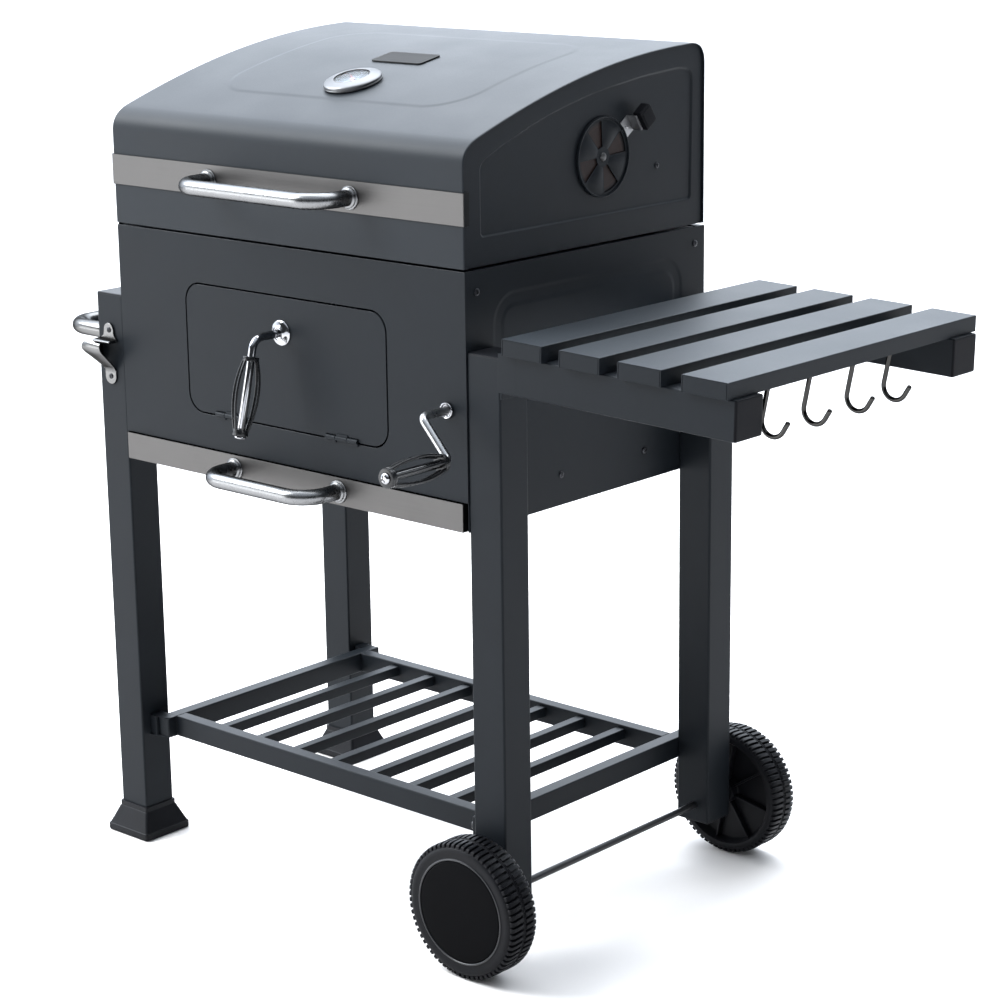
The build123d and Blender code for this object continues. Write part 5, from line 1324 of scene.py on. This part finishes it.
# ================================================================= side table
TILT = Matrix.Translation((366, 0, 721)) @ Matrix.Rotation(rad(1.56), 4, "Y") @ Matrix.Translation((-366, 0, -721))
b, caps, bolts = Bag(), Bag(), Bag()
for s in (-1, 1):
    ya, yb = (-235.0, -187.0) if s < 0 else (187.0, 235.0)
    yo, yi = (ya, yb) if s < 0 else (yb, ya)
    d = 1 if s < 0 else -1
    # folded box section: one wrapped profile, its bottom cut back at the inner end
    o = rrect(ya, yb, 711.0, 757.0, 2.0, 4)
    i_ = rrect(ya + 1.5, yb - 1.5, 712.5, 755.5, 0.9, 2)
    b.add(plate(o, "x", 387.0, 692.0, holes=[i_], bev=0.3, seg=1, ang=60), TILT)
    b.add(box(360.0, 387.3, yo, yo + d * 1.5, 711.4, 756.0, 0.5), TILT)
    b.add(box(360.0, 387.3, yi - d * 1.5, yi, 711.4, 756.0, 0.5), TILT)
    b.add(box(360.0, 387.3, ya + 0.3, yb - 0.3, 755.4, 757.0, 0.6), TILT)
    c = [(ya, 711.0), (yb, 711.0), (yb, 757.0), (ya, 757.0)]

    def C(i, x, r=2.0):
        return [Vector((x, p[0], p[1])) for p in rrect(ya + i, yb - i, 711 + i, 757 - i, max(0.5, r), 4)]

    caps.add(loft([C(0.1, 692.05), C(0.1, 693.3), C(0.5, 694.0), C(1.4, 694.4), C(3.0, 694.5)]), TILT)
    caps.add(loft([C(1.8, 683.0, 1.0), C(1.7, 692.0, 1.0)]), TILT)
    bolts.add(lathe([(0, -1.5), (4.0, -1.5), (4.0, 0.1), (7.0, 0.1), (7.0, 2.2), (6.4, 3.2), (4.6, 3.9), (2.4, 4.1), (0, 4.1)], (366, yi, 721), (0, d, 0), 32), TILT)
    bolts.add(sweep(line_pts((366, yo + d * 1.6, 721), (366, yi, 721), 2), 4.0, 20), TILT)
emit("table_side_rails", b, M_PAINT, "side_table", ["table_rails"])
emit("table_rail_plugs", caps, M_PLASTIC, "side_table", ["rail_end_caps"])
emit("table_fold_bolts", bolts, M_ZINC, "side_table", ["table_pivot_bolts"], wn=False)

b = Bag()
SLATS = [(371.8, 430.9), (456.0, 514.1), (538.9, 599.3), (626.3, 688.2)]
HY, Z0, Z1 = 242.5, 757.0, 776.5
for x0, x1 in SLATS:
    # a channel folded along both long edges
    o = [(x0, Z0 + 0.1), (x0 + 1.5, Z0 + 0.1), (x0 + 1.5, Z1 - 1.5), (x1 - 1.5, Z1 - 1.5), (x1 - 1.5, Z0 + 0.1), (x1, Z0 + 0.1), (x1, Z1), (x0, Z1)]
    o = fillet_closed(o, [0, 0, 0.4, 0.4, 0, 0, 1.3, 1.3], 22.0)
    sl_ = plate(o, "y", -HY, HY, bev=0.32, seg=2, ang=50)
    # up-facing faces take the lighter slat paint, the rest the body paint: a painted highlight on the tops
    for f in sl_.faces:
        f.material_index = 0 if f.normal.z > 0.8 else 1
    b.add(sl_, TILT, None)
    # end flaps, folded down between the long edges
    for s in (-1, 1):
        b.add(box(x0 + 1.9, x1 - 1.9, s * (HY - 1.6), s * (HY + 0.0), Z0 + 0.3, Z1 - 0.5, 0.45), TILT, 1)
emit("table_top_slats", b, [M_SLAT_TOP_LIT, M_PAINT], "side_table", ["table_slats"])
b = Bag()
b.add(sweep(line_pts((677.5, -241, 765), (677.5, 241, 765), 2), 2.0, 16), TILT)
emit("hook_bar", b, M_ZINC, "side_table", ["hook_rod"], wn=False)

# brackets that carry the side table's fold pivots
b = Bag()
for s in (-1, 1):
    ya, yb = (-235.0, -187.0) if s < 0 else (187.0, 235.0)
    l0, l1 = (-222.0, -174.0) if s < 0 else (174.0, 222.0)
    by0, by1 = max(ya + 5, l0), min(yb - 5, l1)
    b.add(box(352.0, 354.5, by0, by1, 700.0, 744.0, 0.6))
    for e0 in (by0, by1 - 2.5):
        pts = [(353.0, 714.0), (366.0, 714.0)] + [(366.0 + 7.0 * sin(rad(a)), 721.0 - 7.0 * cos(rad(a))) for a in range(15, 166, 15)] + [(366.0, 728.0), (353.0, 728.0)]
        b.add(plate(pts, "y", e0, e0 + 2.5, holes=[circle(366, 721, 4.1, 20)], bev=0.35, ang=50))
    for z in (706.0, 738.0):
        b.add(lathe([(0, 0), (3.4, 0), (3.2, 1.0), (2.2, 1.6), (0, 1.9)], (354.5, (by0 + by1) / 2, z), (1, 0, 0), 20))
emit("fold_brackets", b, M_PAINT, "cart", ["table_brackets"])

# ====================================================================== hooks
HP = TILT @ Vector((677.5, 0.0, 765.0))
for i, y in enumerate((-154.0, -76.0, 7.0, 81.0)):
    R, J, L = 5.25, 15.3, 46.0
    pts = []
    for a in range(250, -76, -10):
        pts.append((R * cos(rad(a)), R * sin(rad(a))))
    # from the eye round into the shank
    pts.append((0.25, -R - 1.2))
    pts += [(0.0, -R - 4.0), (0.0, -R - 14.0), (0.0, -L + 10.0), (0.0, -L)]
    for a in range(186, 341, 7):
        pts.append((J + J * cos(rad(a)), -L + J * sin(rad(a))))
    for k in (3.0, 8.0, 11.9):
        pts.append((J + J * cos(rad(340)) - k * sin(rad(340)), -L + J * sin(rad(340)) + k * cos(rad(340))))
    path = []
    le = rad(11.57)
    for u, v in pts:
        x = u * cos(le) + v * sin(le)
        z = -u * sin(le) + v * cos(le)
        path.append(Vector((HP.x + x, y, HP.z + z)))
    bb = Bag()
    bb.add(sweep(path, 2.84, 22, dome=(0.0, 2.2)))
    emit("j_hook_%d" % (i + 1), bb, M_HOOK, "hook_%d" % (i + 1), ["hook_%d" % (i + 1)], wn=False)

# ================================================ CAD pieces kept as they are
KEEP = {
    "frame_bolts": M_BOLT, "drawer_runners": M_INSIDE, "grate_ledges": M_INSIDE, "cooking_grates": M_IRON, "tray_guides": M_INSIDE,
    "lid_hinge_plates": M_PAINT, "lid_hinge_straps": M_PAINT, "door_hinge_pins": M_ZINC, "lift_pinions": M_ZINC, "lift_racks": M_ZINC,
    "charcoal_tray": M_ENAMEL, "fire_grate": M_IRON, "ash_pan": M_ENAMEL,
}
for n, m in KEEP.items():
    ob = NODES[n]
    if not ob.data.materials:
        ob.data.materials.append(m)
    for k in range(len(ob.data.materials)):
        ob.data.materials[k] = m
    for sl in ob.material_slots:
        sl.material = m

bpy.data.meshes.remove(_head)

# ============================================================ floor and light
fl = bmesh.new()
bmesh.ops.create_circle(fl, cap_ends=True, radius=30.0, segments=96)
me = bpy.data.meshes.new("floor")
fl.to_mesh(me)
fl.free()
floor = bpy.data.objects.new("floor", me)
scene.collection.objects.link(floor)
floor.location = (0, 0, -0.0006)
fm = Mat("pale_floor")
fn = fm.noise(3.0, 2.0, 0.5)
fm.link(fm.ramp(fn, [(0.3, (0.75, 0.72, 0.695)), (0.7, (0.77, 0.74, 0.715))]), "Base Color")
fm.link(fm.remap(fn, 0.3, 0.7, 0.85, 0.95), "Roughness")
fm.set(Specular_IOR_Level=0.1)
me.materials.append(fm.m)

world = bpy.data.worlds.new("studio")
scene.world = world
world.use_nodes = True
wt = world.node_tree
bg = wt.nodes["Background"]
tc = wt.nodes.new("ShaderNodeTexCoord")


def wdot(v):
    n = wt.nodes.new("ShaderNodeVectorMath")
    n.operation = "DOT_PRODUCT"
    n.inputs[1].default_value = v
    wt.links.new(tc.outputs["Generated"], n.inputs[0])
    return n.outputs["Value"]


def wmap(x, a, b_, lo, hi):
    n = wt.nodes.new("ShaderNodeMapRange")
    n.interpolation_type = "SMOOTHSTEP"
    for k, v in zip(("From Min", "From Max", "To Min", "To Max"), (a, b_, lo, hi)):
        n.inputs[k].default_value = v
    wt.links.new(x, n.inputs["Value"])
    return n.outputs["Result"]


def wop(op, a, b_):
    n = wt.nodes.new("ShaderNodeMath")
    n.operation = op
    for i, x in enumerate((a, b_)):
        if isinstance(x, (int, float)):
            n.inputs[i].default_value = x
        else:
            wt.links.new(x, n.inputs[i])
    return n.outputs[0]


back = wmap(wdot((-0.80, 0.60, 0.0)), 0.0, 0.8, 0.0, 1.0)
up = wmap(wdot((0.0, 0.0, 1.0)), 0.35, 1.0, 0.0, 1.0)
rise = wmap(wdot((0.0, 0.0, 1.0)), 0.20, 0.50, 1.0, 1.85)
lev = wop("ADD", wop("MULTIPLY", wop("MULTIPLY", back, rise), 3.6), wop("MULTIPLY", up, 1.35))
lev = wop("ADD", lev, 0.06)
wt.links.new(lev, bg.inputs["Strength"])
bg.inputs["Color"].default_value = (0.87, 0.95, 1.06, 1.0)


def area(name, loc, aim, size, power, col=(1, 1, 1), size_y=None):
    ld = bpy.data.lights.new(name, "AREA")
    ld.energy = power
    ld.color = col
    ld.shape = "RECTANGLE" if size_y else "SQUARE"
    ld.size = size
    if size_y:
        ld.size_y = size_y
    ob = bpy.data.objects.new(name, ld)
    scene.collection.objects.link(ob)
    ob.location = loc
    ob.rotation_euler = (Vector(aim) - Vector(loc)).to_track_quat("-Z", "Y").to_euler()
    return ob


area("key_softbox", (-2.9, -3.3, 0.8), (0, 0, 0.6), 2.6, 56.0, (0.97, 0.99, 1.0), 1.5)
area("top_softbox", (-0.4, 1.2, 4.2), (0, 0, 0.6), 4.2, 190.0, (0.95, 0.98, 1.0))
area("left_softbox", (-2.85, -2.0, 3.6), (0, -0.2, 1.0), 2.4, 330.0, (0.95, 0.98, 1.0))

# ===================================================================== camera
K = 1.0175
C = Vector((2266.85 * K + SX, -2367.25 * K + SY, 1326.21 * K)) * 0.001
yaw, pitch, roll = rad(-41.82), rad(-14.66), rad(-0.73)
fwd = Vector((sin(yaw) * cos(pitch), cos(yaw) * cos(pitch), sin(pitch)))
right = Vector((cos(yaw), -sin(yaw), 0.0))
upv = right.cross(fwd)
r2 = right * cos(roll) + upv * sin(roll)
u2 = -right * sin(roll) + upv * cos(roll)
cd = bpy.data.cameras.new("camera")
cd.lens = 95.0
cd.sensor_width = 36.0
cd.sensor_fit = "HORIZONTAL"
cd.clip_start = 0.05
cd.clip_end = 100.0
cam = bpy.data.objects.new("camera", cd)
scene.collection.objects.link(cam)
cam.matrix_world = Matrix(((r2.x, u2.x, -fwd.x, C.x), (r2.y, u2.y, -fwd.y, C.y), (r2.z, u2.z, -fwd.z, C.z), (0, 0, 0, 1)))
scene.camera = cam
scene.view_settings.view_transform = "Standard"
scene.view_settings.look = "None"
scene.view_settings.exposure = 0.0
scene.view_settings.gamma = 1.0

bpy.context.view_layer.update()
